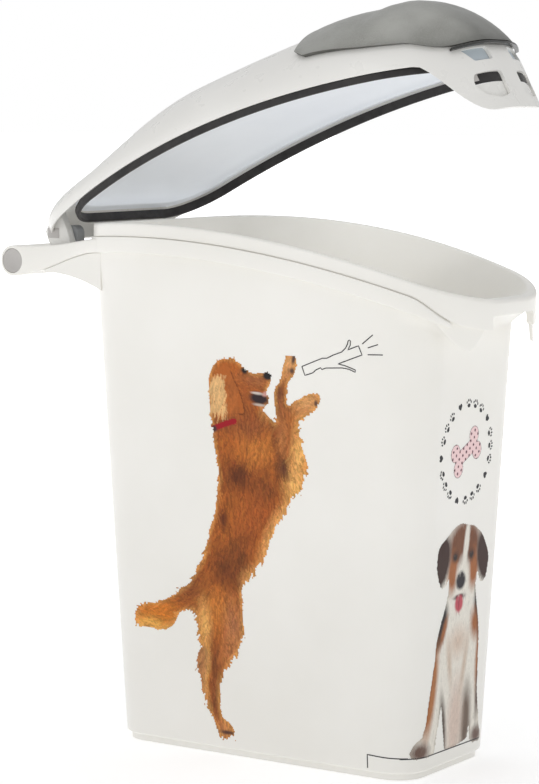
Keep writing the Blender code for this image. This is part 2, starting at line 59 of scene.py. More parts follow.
RIM_TOP = 0.4415
RIM_CREST_Y = 0.100
RIM_DROP = 0.617
MOUTH_FRONT = -0.200
MOUTH_BACK = 0.166
BASE_HALF = 0.068
BASE_FRONT = -0.146
BASE_BACK = 0.148
BASE_CORNER = 0.029
PLINTH_INSET = 0.004
PLINTH_HEIGHT = 0.005
WALL = 0.0028
FLOOR = 0.0035
SHOULDER_FRONT = -0.165
SHOULDER_DROP = 0.034
SHOULDER_CORNER = 0.030
LIP_BAND = 0.011
APRON_DROP = 0.024
CHEEK_DROP = 0.043
STEP = 0.003
SKIRT_DROP = 0.0245
SKIRT_PROUD = 0.002
BAR_Y = 0.237
BAR_Z = 0.406
BAR_RADIUS = 0.0128
ARM_OUTER = 0.089
ARM_THICK = 0.010
HINGE_Y = 0.190
HINGE_Z = 0.413
OPEN_DEG = 27.7
LID_PROUD = 0.0045
LID_FRONT = -0.217
LID_BACK = 0.207
LID_WALL = 0.0025
CREST_BACK = 0.0285
CREST_MIDDLE = 0.048
CREST_FRONT = 0.055
DOME_POWER = 1.8
PANEL_CREST = 0.018
GRIP_BACK = -0.086
GRIP_START = 0.16
GRIP_START_BACK = 0.30
LID_EDGE = 0.0017
RIDGE_FRONT = -0.148
RIDGE_BACK = 0.127
BEAK_TIP_Z = 0.338
SEAL_LOW = 0.0078
LUG_INNER = 0.0685
LUG_OUTER = 0.0765
PIN_BORE = 0.0033
BOSS_INNER = 0.0785
PLUG_SEAT = 0.0865
BEAK_SHOULDER_Z = 0.378
BEAK_CUT = (-0.240, -0.1985)
DOME_TOP = 0.93
PANEL_POWER = 2.2
PANEL_RIDGE = (-0.150, 0.110)
PANEL_THICK = 0.0018
PLATE_LOW = 0.3925
PLATE_HIGH = 0.3945
TRIGGER_PIVOT = (-0.2070, 0.3925)
MM = 0.001

# Points round half an outline: across the front, round its corner, along the side, round the back corner
FRONT_FLAT = 6
FRONT_STEPS = 20
SIDE_STEPS = 34
BACK_STEPS = 16
FILLET_STEPS = 4


def mouth_half(y):
    return MOUTH_HALF - MOUTH_TAPER * (y - MOUTH_WIDEST_Y) ** 2


def rim_z(y):
    return RIM_TOP - RIM_DROP * (y - RIM_CREST_Y) ** 2


def smooth(value, start, end):
    t = min(1.0, max(0.0, (value - start) / (end - start)))
    return t * t * (3 - 2 * t)


def mix(a, b, t):
    return a + (b - a) * t


# Outlines and lofts


def outline(half, front, front_corner, back, back_corner, inset=0.0):
    """Points round a plan that is symmetric about X = 0, from the front centre along +X and back along -X."""
    front_x, front_y = front_corner
    back_x, back_y = back_corner
    turn_front = front + front_y
    turn_back = back - back_y
    side = []
    for i in range(FRONT_FLAT):
        side.append(((half(front) - front_x) * i / FRONT_FLAT, front + inset))
    for i in range(FRONT_STEPS):
        angle = math.pi / 2 * (1 - i / FRONT_STEPS)
        y = turn_front - (front_y - inset) * math.sin(angle)
        side.append((half(y) - front_x + (front_x - inset) * math.cos(angle), y))
    for i in range(SIDE_STEPS):
        y = mix(turn_front, turn_back, i / SIDE_STEPS)
        side.append((half(y) - inset, y))
    for i in range(BACK_STEPS + 1):
        angle = math.pi / 2 * i / BACK_STEPS
        y = turn_back + (back_y - inset) * math.sin(angle)
        side.append((half(y) - back_x + (back_x - inset) * math.cos(angle), y))
    for i in range(1, FRONT_FLAT + 1):
        side.append(((half(back) - back_x) * (1 - i / FRONT_FLAT), back - inset))
    return side + [(-x, y) for x, y in reversed(side[1:-1])]


def mouth(inset=0.0):
    return outline(mouth_half, MOUTH_FRONT, (0.058, 0.050), MOUTH_BACK, (0.038, 0.038), inset)


def shoulder(inset=0.0):
    corner = (SHOULDER_CORNER, SHOULDER_CORNER)
    return outline(
        lambda y: mouth_half(y) - STEP, SHOULDER_FRONT, corner, MOUTH_BACK - STEP, (0.035, 0.035), inset
    )


def base(inset=0.0):
    corner = (BASE_CORNER, BASE_CORNER)
    return outline(lambda y: BASE_HALF, BASE_FRONT, corner, BASE_BACK, corner, inset)


def lid_plan(inset=0.0):
    return outline(
        lambda y: mouth_half(y) + LID_PROUD, LID_FRONT, (0.060, 0.067), LID_BACK, (0.045, 0.045), inset
    )


def nose(y):
    """0 along the sides of the mouth, rising to 1 at its front."""
    return smooth(y, -0.153, -0.188)


def at_height(points, height):
    if callable(height):
        return np.array([(x, y, height(x, y)) for x, y in points])
    return np.array([(x, y, height) for x, y in points])


def rounded(rings, radii, shut=False):
    """Rounds a loft's profile at each ring. A radius is how far back from the corner its arc starts."""
    made = []
    count = len(rings)
    for i, (ring, radius) in enumerate(zip(rings, radii)):
        if radius == 0 or (not shut and i in (0, count - 1)):
            made.append(ring)
            continue
        back = rings[i - 1] - ring
        ahead = rings[(i + 1) % count] - ring
        back_length = np.maximum(np.linalg.norm(back, axis=1, keepdims=True), 1e-7)
        ahead_length = np.maximum(np.linalg.norm(ahead, axis=1, keepdims=True), 1e-7)
        start = ring + back * np.minimum(radius / back_length, 0.45)
        end = ring + ahead * np.minimum(radius / ahead_length, 0.45)
        for t in np.linspace(0, 1, FILLET_STEPS + 1):
            made.append((1 - t) ** 2 * start + 2 * t * (1 - t) * ring + t * t * end)
    return made


def new_object(name, mesh):
    made = bpy.data.objects.new(name, mesh)
    bpy.context.scene.collection.objects.link(made)
    return made


def from_bmesh(name, shape):
    bmesh.ops.recalc_face_normals(shape, faces=shape.faces)
    mesh = bpy.data.meshes.new(name)
    shape.to_mesh(mesh)
    shape.free()
    return new_object(name, mesh)


def loft(name, rings, cap_first=False, cap_last=False, ring_shut=True, section_shut=False):
    shape = bmesh.new()
    rows = [[shape.verts.new(point) for point in ring] for ring in rings]
    count = len(rings[0])
    across = len(rows) if section_shut else len(rows) - 1
    along = count if ring_shut else count - 1
    for i in range(across):
        low = rows[i]
        high = rows[(i + 1) % len(rows)]
        for j in range(along):
            k = (j + 1) % count
            shape.faces.new((low[j], low[k], high[k], high[j]))
    for wanted, row in ((cap_first, rows[0]), (cap_last, rows[-1])):
        if wanted:
            cap_row(shape, row)
    if not ring_shut:
        shape.faces.new([row[0] for row in rows])
        shape.faces.new([row[-1] for row in rows])
    return from_bmesh(name, shape)


def cap_row(shape, row):
    """Closes a symmetric ring with strips from its right half to its left half."""
    for i in range(len(row) // 2):
        corners = [row[i], row[i + 1], row[-i - 1], row[-i]]
        shape.faces.new(list(dict.fromkeys(corners)))


def apply_all(obj):
    """Turns an object's modifiers into its mesh."""
    bpy.context.view_layer.update()
    graph = bpy.context.evaluated_depsgraph_get()
    mesh = bpy.data.meshes.new_from_object(obj.evaluated_get(graph))
    obj.modifiers.clear()
    obj.data = mesh
    return obj


def combine(obj, other, operation):
    step = obj.modifiers.new("step", "BOOLEAN")
    step.operation = operation
    step.solver = "MANIFOLD"
    step.object = other
    apply_all(obj)
    bpy.data.objects.remove(other)
    return obj


def cut(obj, other):
    return combine(obj, other, "DIFFERENCE")


def join(obj, other):
    return combine(obj, other, "UNION")


def soften(obj, width):
    step = obj.modifiers.new("soften", "BEVEL")
    step.width = width
    step.segments = 3
    step.limit_method = "ANGLE"
    step.angle_limit = math.radians(50)
    step.use_clamp_overlap = True
    return apply_all(obj)


def block(name, low, high, radius=0.0):
    shape = bmesh.new()
    bmesh.ops.create_cube(shape, size=1.0)
    bmesh.ops.scale(shape, vec=Vector(high) - Vector(low), verts=shape.verts)
    bmesh.ops.translate(shape, vec=(Vector(high) + Vector(low)) / 2, verts=shape.verts)
    if radius:
        bmesh.ops.bevel(shape, geom=shape.edges, offset=radius, segments=3, affect="EDGES", profile=0.5)
    return from_bmesh(name, shape)


def turned(name, profile, centre, sides=64):
    """A shape turned about an X axis through centre. profile is (x, radius) pairs; radius 0 closes an end."""
    rings = []
    for x, radius in profile:
        ring = []
        for i in range(sides):
            angle = 2 * math.pi * i / sides
            ring.append((x, centre[0] + radius * math.cos(angle), centre[1] + radius * math.sin(angle)))
        rings.append(np.array(ring))
    made = loft(name, rings, section_shut=profile[0][1] > 0)
    weld = bmesh.new()
    weld.from_mesh(made.data)
    bmesh.ops.remove_doubles(weld, verts=weld.verts, dist=1e-6)
    weld.to_mesh(made.data)
    weld.free()
    return made


def plain_round(name, side, low, high, radius, centre, sides=64):
    """A cylinder along X from side * low to side * high."""
    profile = [(low, 0.0), (low, radius), (high, radius), (high, 0.0)]
    return turned(name, [(side * x, r) for x, r in profile], centre, sides)


def ends_closed(obj):
    """Fills a tube's open ends."""
    shape = bmesh.new()
    shape.from_mesh(obj.data)
    bmesh.ops.holes_fill(shape, edges=shape.edges, sides=0)
    bmesh.ops.recalc_face_normals(shape, faces=shape.faces)
    shape.to_mesh(obj.data)
    shape.free()
    return obj


def prism(name, points, axis, low, high, radius=0.0):
    """An outline run along X or Y. points are (y, z) for X and (x, z) for Y."""
    shape = bmesh.new()
    rows = []
    for depth in (low, high):
        placed = [(depth, a, b) if axis == "X" else (a, depth, b) for a, b in points]
        rows.append([shape.verts.new(point) for point in placed])
    for i in range(len(points)):
        k = (i + 1) % len(points)
        shape.faces.new((rows[0][i], rows[0][k], rows[1][k], rows[1][i]))
    for row in rows:
        shape.faces.new(row)
    bmesh.ops.recalc_face_normals(shape, faces=shape.faces)
    if radius:
        sharp = [edge for edge in shape.edges if edge.calc_face_angle(0) > math.radians(30)]
        bmesh.ops.bevel(shape, geom=sharp, offset=radius, segments=3, affect="EDGES", profile=0.5)
    return from_bmesh(name, shape)


def arc(centre, radius, start_deg, end_deg, steps):
    points = []
    for i in range(steps + 1):
        angle = math.radians(mix(start_deg, end_deg, i / steps))
        points.append((centre[0] + radius * math.cos(angle), centre[1] + radius * math.sin(angle)))
    return points


def rounded_corners(points, radius, steps=4):
    """Rounds the corners of a flat outline."""
    made = []
    for i, point in enumerate(points):
        here = np.array(point)
        back = np.array(points[i - 1]) - here
        ahead = np.array(points[(i + 1) % len(points)]) - here
        start = here + back * min(0.45, radius / np.linalg.norm(back))
        end = here + ahead * min(0.45, radius / np.linalg.norm(ahead))
        for t in np.linspace(0, 1, steps + 1):
            made.append(tuple((1 - t) ** 2 * start + 2 * t * (1 - t) * here + t * t * end))
    return made


# Materials


class Nodes:
    """A material's node tree, with short calls for the nodes it uses."""

    def __init__(self, name):
        self.material = bpy.data.materials.new(name)
        self.material.use_nodes = True
        self.tree = self.material.node_tree
        self.shader = self.tree.nodes["Principled BSDF"]
        self.place = self.tree.nodes.new("ShaderNodeTexCoord").outputs["Object"]

    def node(self, kind, **settings):
        made = self.tree.nodes.new(kind)
        for key, value in settings.items():
            setattr(made, key, value)
        return made

    def link(self, source, target):
        self.tree.links.new(source, target)

    def stretched(self, scale):
        made = self.node("ShaderNodeMapping")
        made.inputs["Scale"].default_value = scale
        self.link(self.place, made.inputs["Vector"])
        return made.outputs["Vector"]

    def noise(self, scale, detail=3.0, roughness=0.5, vector=None):
        made = self.node("ShaderNodeTexNoise")
        made.inputs["Scale"].default_value = scale
        made.inputs["Detail"].default_value = detail
        made.inputs["Roughness"].default_value = roughness
        self.link(vector or self.place, made.inputs["Vector"])
        return made.outputs["Fac"]

    def ramp(self, source, stops):
        made = self.node("ShaderNodeValToRGB")
        elements = made.color_ramp.elements
        while len(elements) < len(stops):
            elements.new(0.5)
        for element, (position, colour) in zip(elements, stops):
            element.position = position
            element.color = (*colour, 1.0)
        self.link(source, made.inputs["Fac"])
        return made.outputs["Color"]

    def spread(self, source, low, high, from_low=0.3, from_high=0.7):
        made = self.node("ShaderNodeMapRange")
        made.inputs["From Min"].default_value = from_low
        made.inputs["From Max"].default_value = from_high
        made.inputs["To Min"].default_value = low
        made.inputs["To Max"].default_value = high
        self.link(source, made.inputs["Value"])
        return made.outputs["Result"]

    def bump(self, height, distance, strength=1.0, normal=None):
        made = self.node("ShaderNodeBump")
        made.inputs["Distance"].default_value = distance
        made.inputs["Strength"].default_value = strength
        self.link(height, made.inputs["Height"])
        if normal:
            self.link(normal, made.inputs["Normal"])
        return made.outputs["Normal"]

    def set(self, **values):
        for key, value in values.items():
            socket = self.shader.inputs[key.replace("_", " ")]
            if isinstance(value, bpy.types.NodeSocket):
                self.link(value, socket)
            elif isinstance(value, tuple):
                socket.default_value = (*value, 1.0)
            else:
                socket.default_value = value


def moulded(name, dark, light, roughness, grain=0.00003, wax=0.0, painted_glow=0.0):
    """Moulded polypropylene: cloudy colour, a fine spark-eroded grain and slow waves from cooling.

    The emission that this sets is painted light: the plastic's own colour given off to stand in for the light
    that a thin pale wall carries through itself.
    """
    m = Nodes(name)
    clouds = m.noise(9.0, 3.0)
    colour = m.ramp(clouds, [(0.30, dark), (0.70, light)])
    fine = m.noise(1400.0, 2.0)
    slow = m.noise(28.0, 1.0)
    waves = m.bump(slow, 0.0005, 0.20)
    normal = m.bump(fine, grain, 0.6, waves)
    rough = m.spread(m.noise(70.0, 4.0), *roughness)
    m.set(Base_Color=colour, Roughness=rough, Normal=normal, IOR=1.49)
    # Painted light: an emission in the plastic's own colour, standing in for light carried through the wall.
    if painted_glow:
        m.set(Emission_Color=colour, Emission_Strength=painted_glow)
    if wax:
        m.set(Subsurface_Weight=wax, Subsurface_Scale=0.004)
        m.shader.inputs["Subsurface Radius"].default_value = (1.0, 0.95, 0.85)
    return m.material


def rubber(name, dark, light):
    m = Nodes(name)
    colour = m.ramp(m.noise(60.0, 4.0), [(0.3, dark), (0.7, light)])
    pores = m.noise(2600.0, 2.0)
    m.set(
        Base_Color=colour,
        Roughness=m.spread(m.noise(140.0, 3.0), 0.55, 0.75),
        Normal=m.bump(pores, 0.00005, 0.6),
        Sheen_Weight=0.12,
        Sheen_Roughness=0.4,
    )
    return m.material


def soft_touch(name):
    """The grip: a satin elastomer with a metallic fleck, with painted light and shade: paler along its top,
    darker on its down-facing faces.
    """
    m = Nodes(name)
    flecks = m.noise(3200.0, 2.0, 0.7)
    shades = [(0.35, (0.16, 0.16, 0.145)), (0.52, (0.25, 0.25, 0.23)), (0.72, (0.40, 0.40, 0.375))]
    body = m.ramp(flecks, shades)
    worn = m.spread(m.noise(24.0, 4.0), 0.0, 1.0, 0.42, 0.72)
    blend = m.node("ShaderNodeMix", data_type="RGBA", blend_type="MIX")
    m.link(worn, blend.inputs["Factor"])
    m.link(body, blend.inputs["A"])
    blend.inputs["B"].default_value = (0.30, 0.30, 0.28, 1.0)
    # Painted light and shade: the colour's value is raised where the grip faces up and lowered where it faces
    # down.
    upward = m.node("ShaderNodeVectorMath", operation="DOT_PRODUCT")
    m.link(m.node("ShaderNodeTexCoord").outputs["Normal"], upward.inputs[0])
    upward.inputs[1].default_value = (0.0, 0.45, 0.89)
    painted_top_light = m.node("ShaderNodeHueSaturation")
    m.link(m.spread(upward.outputs["Value"], 0.55, 1.45, -0.1, 0.95), painted_top_light.inputs["Value"])
    m.link(blend.outputs["Result"], painted_top_light.inputs["Color"])
    m.set(
        Base_Color=painted_top_light.outputs["Color"],
        Metallic=0.75,
        Roughness=m.spread(m.noise(90.0, 3.0), 0.30, 0.40),
        Normal=m.bump(flecks, 0.00004, 0.5),
    )
    return m.material


def drawn_wire(name):
    m = Nodes(name)
    lines = m.noise(900.0, 2.0, 0.5, m.stretched((0.05, 1.0, 1.0)))
    m.set(
        Base_Color=m.ramp(lines, [(0.3, (0.42, 0.42, 0.43)), (0.7, (0.62, 0.62, 0.62))]),
        Metallic=1.0,
        Roughness=m.spread(lines, 0.22, 0.38),
        Normal=m.bump(lines, 0.00002, 0.4),
    )
    return m.material


def ink(name):
    """Printed film: its colours are in the mesh, under a thin lacquer with the wall's own grain."""
    m = Nodes(name)
    colours = m.node("ShaderNodeVertexColor", layer_name="print")
    fine = m.noise(1400.0, 2.0)
    speck = m.noise(2600.0, 2.0, 0.7)
    tint = m.node("ShaderNodeHueSaturation")
    m.link(m.spread(speck, 0.90, 1.10), tint.inputs["Value"])
    m.link(colours.outputs["Color"], tint.inputs["Color"])
    m.set(
        Base_Color=tint.outputs["Color"],
        Roughness=m.spread(m.noise(70.0, 4.0), 0.32, 0.42),
        Normal=m.bump(fine, 0.00003, 0.5),
        Specular_IOR_Level=0.18,
    )
    return m.material


def paint(obj, material, sharp=35):
    obj.data.materials.clear()
    obj.data.materials.append(material)
    obj.data.shade_smooth()
    obj.data.set_sharp_from_angle(angle=math.radians(sharp))
    return obj


def place(obj, material, body, slot_name, *nodes, sharp=35):
    """Finishes a piece: its material, its body and the nodes it stands for. slot_name is not used."""
    paint(obj, material, sharp)
    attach(obj, body)
    if nodes:
        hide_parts(*nodes)
    return obj


def opened(obj):
    """Turns a lid piece, built shut, to where the lid stands open."""
    hinge = Matrix.Translation((0, HINGE_Y, HINGE_Z))
    turn = hinge @ Matrix.Rotation(math.radians(-OPEN_DEG), 4, "X") @ hinge.inverted()
    obj.data.transform(turn)
    return obj


# Bin


def under_rim(drop_side, drop_front):
    return lambda x, y: rim_z(y) - mix(drop_side, drop_front, nose(y))


def cheek_drop(x, y):
    """The rim hangs lowest at the two front corners and less across the middle of the apron."""
    corner = nose(y) * smooth(abs(x), 0.036, 0.052)
    return rim_z(y) - 0.0126 - (APRON_DROP - 0.0126) * nose(y) - (CHEEK_DROP - APRON_DROP) * corner


def inner_lip():
    half = lambda y: mouth_half(y) - 0.005
    return outline(half, MOUTH_FRONT + 0.011, (0.052, 0.039), MOUTH_BACK - 0.005, (0.033, 0.033))


def tub():
    waist = shoulder()
    waist_height = lambda x, y: rim_z(mix(y, MOUTH_FRONT, nose(y))) - SHOULDER_DROP
    waist_z = at_height(waist, waist_height)
    foot_z = at_height(base(), PLINTH_HEIGHT + 0.0015)
    inner_foot = at_height(base(WALL), FLOOR + 0.004)
    inner_waist = at_height(shoulder(WALL), waist_height)
    narrow = lambda y: mouth_half(y) - STEP
    behind = outline(narrow, MOUTH_FRONT + 0.007, (0.055, 0.043), MOUTH_BACK - STEP, (0.035, 0.035))
    inside_apron = outline(narrow, MOUTH_FRONT + STEP, (0.055, 0.047), MOUTH_BACK - STEP, (0.035, 0.035))
    profile = [
        (at_height(base(PLINTH_INSET), 0.0), 0.0),
        (at_height(base(PLINTH_INSET), PLINTH_HEIGHT), 0.0006),
        (foot_z, 0.0015),
        (mix(foot_z, waist_z, 0.12), 0.0),
        (mix(foot_z, waist_z, 0.35), 0.0),
        (mix(foot_z, waist_z, 0.60), 0.0),
        (mix(foot_z, waist_z, 0.85), 0.0),
        (waist_z, 0.004),
        (at_height(behind, under_rim(0.0140, 0.0150)), 0.0006),
        (at_height(behind, lambda x, y: cheek_drop(x, y) - 0.0006), 0.0004),
        (at_height(inside_apron, cheek_drop), 0.0005),
        (at_height(inside_apron, under_rim(LIP_BAND + 0.0006, APRON_DROP - 0.0004)), 0.0),
        (at_height(mouth(), under_rim(LIP_BAND, APRON_DROP)), 0.0006),
        (at_height(mouth(), under_rim(0.0010, 0.0020)), 0.0016),
        (at_height(mouth(0.0015), under_rim(0.0, 0.0)), 0.0012),
        (at_height(inner_lip(), under_rim(0.0005, 0.003)), 0.0016),
        (inner_waist, 0.004),
        (mix(inner_foot, inner_waist, 0.5), 0.0),
        (inner_foot, 0.002),
        (at_height(base(WALL + 0.004), FLOOR), 0.0),
    ]
    rings = rounded([ring for ring, radius in profile], [radius for ring, radius in profile])
    made = loft("tub_moulding", rings, cap_first=True, cap_last=True)
    notch = [(-0.033, 0.350), (0.033, 0.350), (0.033, 0.3745), (-0.033, 0.3745)]
    cut(made, prism("notch", rounded_corners(notch, 0.003), "Y", -0.220, -0.1905))
    for side in (-1, 1):
        join(made, gusset(side))
    return made


def arm_low(y):
    return mix(rim_z(y) - SKIRT_DROP, BAR_Z - BAR_RADIUS + 0.001, smooth(y, 0.150, BAR_Y))


def gusset(side):
    under = [(y, arm_low(y) - 2 * GAP) for y in np.linspace(0.204, 0.143, 12)]
    points = [*arc((0.205, 0.253), 0.145, 115.3, 90.5, 18), *under]
    middle = side * 0.0865
    return prism("gusset", points, "X", middle - 0.00225, middle + 0.00225)


def collar():
    plan = mouth()
    last = next(i for i, (x, y) in enumerate(plan) if y > -0.181)
    chosen = slice(last, len(plan) - last + 1)
    inner = mouth(STEP - GAP)[chosen]
    outer = mouth(-SKIRT_PROUD)[chosen]
    low = under_rim(SKIRT_DROP, APRON_DROP + 0.0030)
    top = under_rim(LIP_BAND + GAP, APRON_DROP + 0.0009)
    inner_top = under_rim(LIP_BAND + 0.0010, APRON_DROP + 0.0012)
    rings = [at_height(inner, low), at_height(outer, low), at_height(outer, top), at_height(inner, inner_top)]
    rings = rounded(rings, [0.0003, 0.0012, 0.0008, 0.0], shut=True)
    made = loft("rim_band", rings, ring_shut=False, section_shut=True)
    for side in (-1, 1):
        join(made, handle_arm(side))
        rib = sorted((side * BOSS_INNER, side * 0.0838))
        join(made, block("rib", (rib[0], MOUTH_BACK - 0.004, 0.3995), (rib[1], 0.198, 0.418), 0.0006))
        boss = [
            (BOSS_INNER, 0.0),
            (BOSS_INNER, BAR_RADIUS + 0.0002),
            (0.0882, BAR_RADIUS + 0.0002),
            (0.0888, BAR_RADIUS - 0.0004),
            (ARM_OUTER, BAR_RADIUS - 0.0010),
            (ARM_OUTER, 0.0),
        ]
        join(made, turned("boss", [(side * x, r) for x, r in boss], (BAR_Y, BAR_Z)))
    join(made, block("shelf", (-0.081, MOUTH_BACK - 0.004, 0.3995), (0.081, 0.198, 0.4035), 0.0006))
    skin = mouth(STEP - GAP)
    tall = [at_height(skin, 0.335), at_height(skin, 0.460)]
    cut(made, loft("envelope", tall, cap_first=True, cap_last=True))
    for side in (-1, 1):
        cut(made, plain_round("seat", side, PLUG_SEAT, 0.095, 0.0106, (BAR_Y, BAR_Z)))
        cut(made, plain_round("pin_hole", side, 0.0760, 0.0840, PIN_BORE, (HINGE_Y, HINGE_Z), 24))
    return made


def handle_arm(side):
    """An upright bar with rounded edges, from the skirt back to the handle bar."""
    rings = []
    for i in range(29):
        y = mix(0.112, BAR_Y, i / 28)
        t = smooth(y, 0.112, 0.200)
        outer = mix(mouth_half(y) + SKIRT_PROUD - 0.0001, ARM_OUTER, t)
        inner = outer - mix(0.006, ARM_THICK, t)
        rise = mix(rim_z(y) - LIP_BAND - 0.0013, BAR_Z + BAR_RADIUS, smooth(y, 0.130, BAR_Y))
        corners = [(inner, arm_low(y)), (outer, arm_low(y)), (outer, rise), (inner, rise)]
        ring = rounded_corners(corners, 0.0016, 3)
        rings.append(np.array([(side * x, y, z) for x, z in ring]))
    return ends_closed(loft("arm", rings))


def handle_bar():
    """The bar, with rounded ends."""
    end = 0.0782
    profile = [(-end, 0.0), (-end, BAR_RADIUS - 0.0008), (-end + 0.0008, BAR_RADIUS)]
    profile += [(x, BAR_RADIUS) for x in np.linspace(-end + 0.004, end - 0.004, 24)]
    profile += [(end - 0.0008, BAR_RADIUS), (end, BAR_RADIUS - 0.0008), (end, 0.0)]
    return turned("pouring_handle", profile, (BAR_Y, BAR_Z), 72)


def handle_plug(side):
    seat = PLUG_SEAT + GAP
    face = ARM_OUTER - 0.0003
    dish = 0.0016
    profile = [(seat, 0.0), (seat, 0.0103), (face - 0.0004, 0.0103), (face, 0.0099)]
    profile += [(face - dish * (1 - (r / 0.0092) ** 2), r) for r in np.linspace(0.0092, 0.0, 8)]
    name = "handle_end_%s" % ("left" if side < 0 else "right")
    return turned(name, [(side * x, r) for x, r in profile], (BAR_Y, BAR_Z), 56)


def hinge_block(side):
    name = "hinge_post_%s" % ("left" if side < 0 else "right")
    half = 0.0065
    points = [(HINGE_Y - half, 0.4038), (HINGE_Y + half, 0.4038), *arc((HINGE_Y, 0.4300), half, 0, 180, 20)]
    middle = side * 0.0625
    made = prism(name, points, "X", middle - 0.005, middle + 0.005, 0.0005)
    return cut(made, plain_round("hole", side, 0.050, 0.075, PIN_BORE, (HINGE_Y, HINGE_Z), 32))


# Lid, built shut


def lid_front(y):
    return smooth(y, -0.182, -0.213)


def lid_foot(x, y):
    return mix(rim_z(y) - LID_EDGE, BEAK_TIP_Z, lid_front(y))


def lid_turn(x, y):
    return mix(rim_z(y) + 0.004, BEAK_SHOULDER_Z, lid_front(y))


def lid_crest(y):
    """How high the lid's ridge stands above the rim: lowest at the back, highest under the grip."""
    middle = mix(CREST_MIDDLE, CREST_BACK, smooth(y, 0.020, 0.150))
    return mix(middle, CREST_FRONT, smooth(y, 0.0, -0.160))


def dome_ring(plan, rise, turn, front=RIDGE_FRONT, back=RIDGE_BACK, crest=lid_crest, power=DOME_POWER):
    """A ring of a dome that closes on a ridge. rise is 0 at the plan and 1 at the ridge."""
    along = math.cos(math.pi / 2 * rise) ** (2 / power)
    up = math.sin(math.pi / 2 * rise) ** (2 / power)
    ring = []
    for x, y in plan:
        ridge_y = min(back, max(front, y))
        ring.append((x * along, mix(ridge_y, y, along), mix(turn(x, y), rim_z(ridge_y) + crest(ridge_y), up)))
    return np.array(ring)


def lid_shell():
    rises = [*np.linspace(0, DOME_TOP, 19)]
    outside = lid_plan()
    inside = lid_plan(LID_WALL)
    foot = at_height(outside, lid_foot)
    skin = [dome_ring(outside, rise, lid_turn) for rise in rises]
    under = lambda x, y: lid_turn(x, y) - 0.0012
    lining = [dome_ring(inside, rise, under, crest=lambda y: lid_crest(y) - LID_WALL) for rise in rises]
    inner_foot = at_height(inside, lid_foot)
    middle = mix(foot, inner_foot, 0.5)
    radii = [0.0, 0.0009] + [0.0] * len(rises)
    over = rounded([middle, foot, *skin], radii)
    rings = list(reversed(over[1:])) + rounded([middle, inner_foot, *lining], radii)
    made = loft("lid_moulding", rings, cap_first=True, cap_last=True)
    for side in (-1, 1):
        join(made, lid_lug(side))
        cut(made, pocket(side))
        cut(made, window(side))
        cut(made, plain_round("hole", side, 0.065, 0.080, PIN_BORE, (HINGE_Y, HINGE_Z), 24))
    return opened(made)


def lid_lug(side):
    eye = arc((HINGE_Y, HINGE_Z), 0.0085, 190, 350, 24)
    points = [*eye, (0.2010, 0.4300), (0.2000, 0.4385), (0.1905, 0.4450), (0.1785, 0.4465), (0.1785, 0.4300)]
    low, high = sorted((side * LUG_INNER, side * LUG_OUTER))
    return prism("lug", points, "X", low, high, 0.0006)


def pocket(side):
    points = rounded_corners([(0.016, 0.3800), (0.037, 0.3800), (0.044, 0.3915), (0.016, 0.3915)], 0.002)
    return prism("pocket", [(side * x, z) for x, z in points], "Y", *BEAK_CUT)


def window(side):
    corners = [
        (0.012, 0.3700), (0.043, 0.3700), (0.046, 0.3620), (0.040, 0.3520), (0.026, 0.3470), (0.012, 0.3500),
    ]
    points = rounded_corners(corners, 0.003)
    return prism("window", [(side * x, z) for x, z in points], "Y", *BEAK_CUT)


def panel_floor(x, y):
    return rim_z(y) + 0.0016


def lid_panel():
    wide = lambda y: mouth_half(y) + 0.0005
    narrow = lambda y: mouth_half(y) - 0.008
    plan = outline(wide, MOUTH_FRONT - 0.0005, (0.058, 0.050), MOUTH_BACK + 0.001, (0.038, 0.038))
    vault = outline(narrow, MOUTH_FRONT + 0.008, (0.052, 0.044), MOUTH_BACK - 0.007, (0.033, 0.033))
    raised = lambda x, y: panel_floor(x, y) + PANEL_THICK
    flange = [at_height(plan, panel_floor), at_height(plan, raised)]
    middle = mix(flange[0], flange[1], 0.5)
    faces = []
    sides = [(flange[0], panel_floor, PANEL_CREST), (flange[1], raised, PANEL_CREST + PANEL_THICK)]
    for edge, turn, crest in sides:
        dome = []
        for rise in np.linspace(0, DOME_TOP, 14):
            dome.append(dome_ring(vault, rise, turn, *PANEL_RIDGE, lambda y: crest, PANEL_POWER))
        faces.append(rounded([middle, edge, *dome], [0, 0.0006, 0.003] + [0] * (len(dome) - 1)))
    below, above = faces
    made = loft("lid_lining", list(reversed(below[1:])) + above, cap_first=True, cap_last=True)
    return opened(made)


def lid_seal():
    inner = mouth(-0.0006)
    bead = mouth(-0.0041)
    root = mouth(-0.0015)
    drops = [
        (inner, SEAL_LOW),
        (bead, SEAL_LOW),
        (bead, LID_EDGE + 0.0005),
        (root, LID_EDGE + 0.0004),
        (root, 0.0004),
        (inner, 0.0004),
    ]
    rings = []
    for plan, drop in drops:
        rings.append(at_height(plan, lambda x, y: rim_z(y) - drop))
    rings = rounded(rings, [0.0010, 0.0014, 0.0006, 0, 0, 0], shut=True)
    return opened(loft("seal_bead", rings, section_shut=True))


def grip_padding(y):
    """The grip is thickest where the lid's ridge starts to climb, so that its own back runs straight."""
    return 0.0016 * smooth(y, -0.086, -0.112) * smooth(y, -0.150, -0.124)


def grip_ring(plan, t, offset, padded):
    """A ring of the grip: its lower edge climbs the dome towards the back and ends in a rounded corner."""
    ring = []
    for x, y in plan:
        start = mix(GRIP_START, GRIP_START_BACK, smooth(y, -0.200, -0.100))
        start += 0.26 * smooth(y, -0.106, -0.086) ** 2
        ridge = lambda y: lid_crest(y) + offset + (grip_padding(y) if padded else 0.0)
        ring.append(dome_ring([(x, y)], mix(start, 0.97, t), lid_turn, crest=ridge)[0])
    return np.array(ring)


def across_front(plan, wanted):
    """The indices of a plan's front run, from its right end round to its left end."""
    half = len([1 for x, y in plan[: len(plan) // 2] if wanted(x, y)])
    return list(range(half - 1, 0, -1)) + [0] + list(range(len(plan) - 1, len(plan) - half, -1))


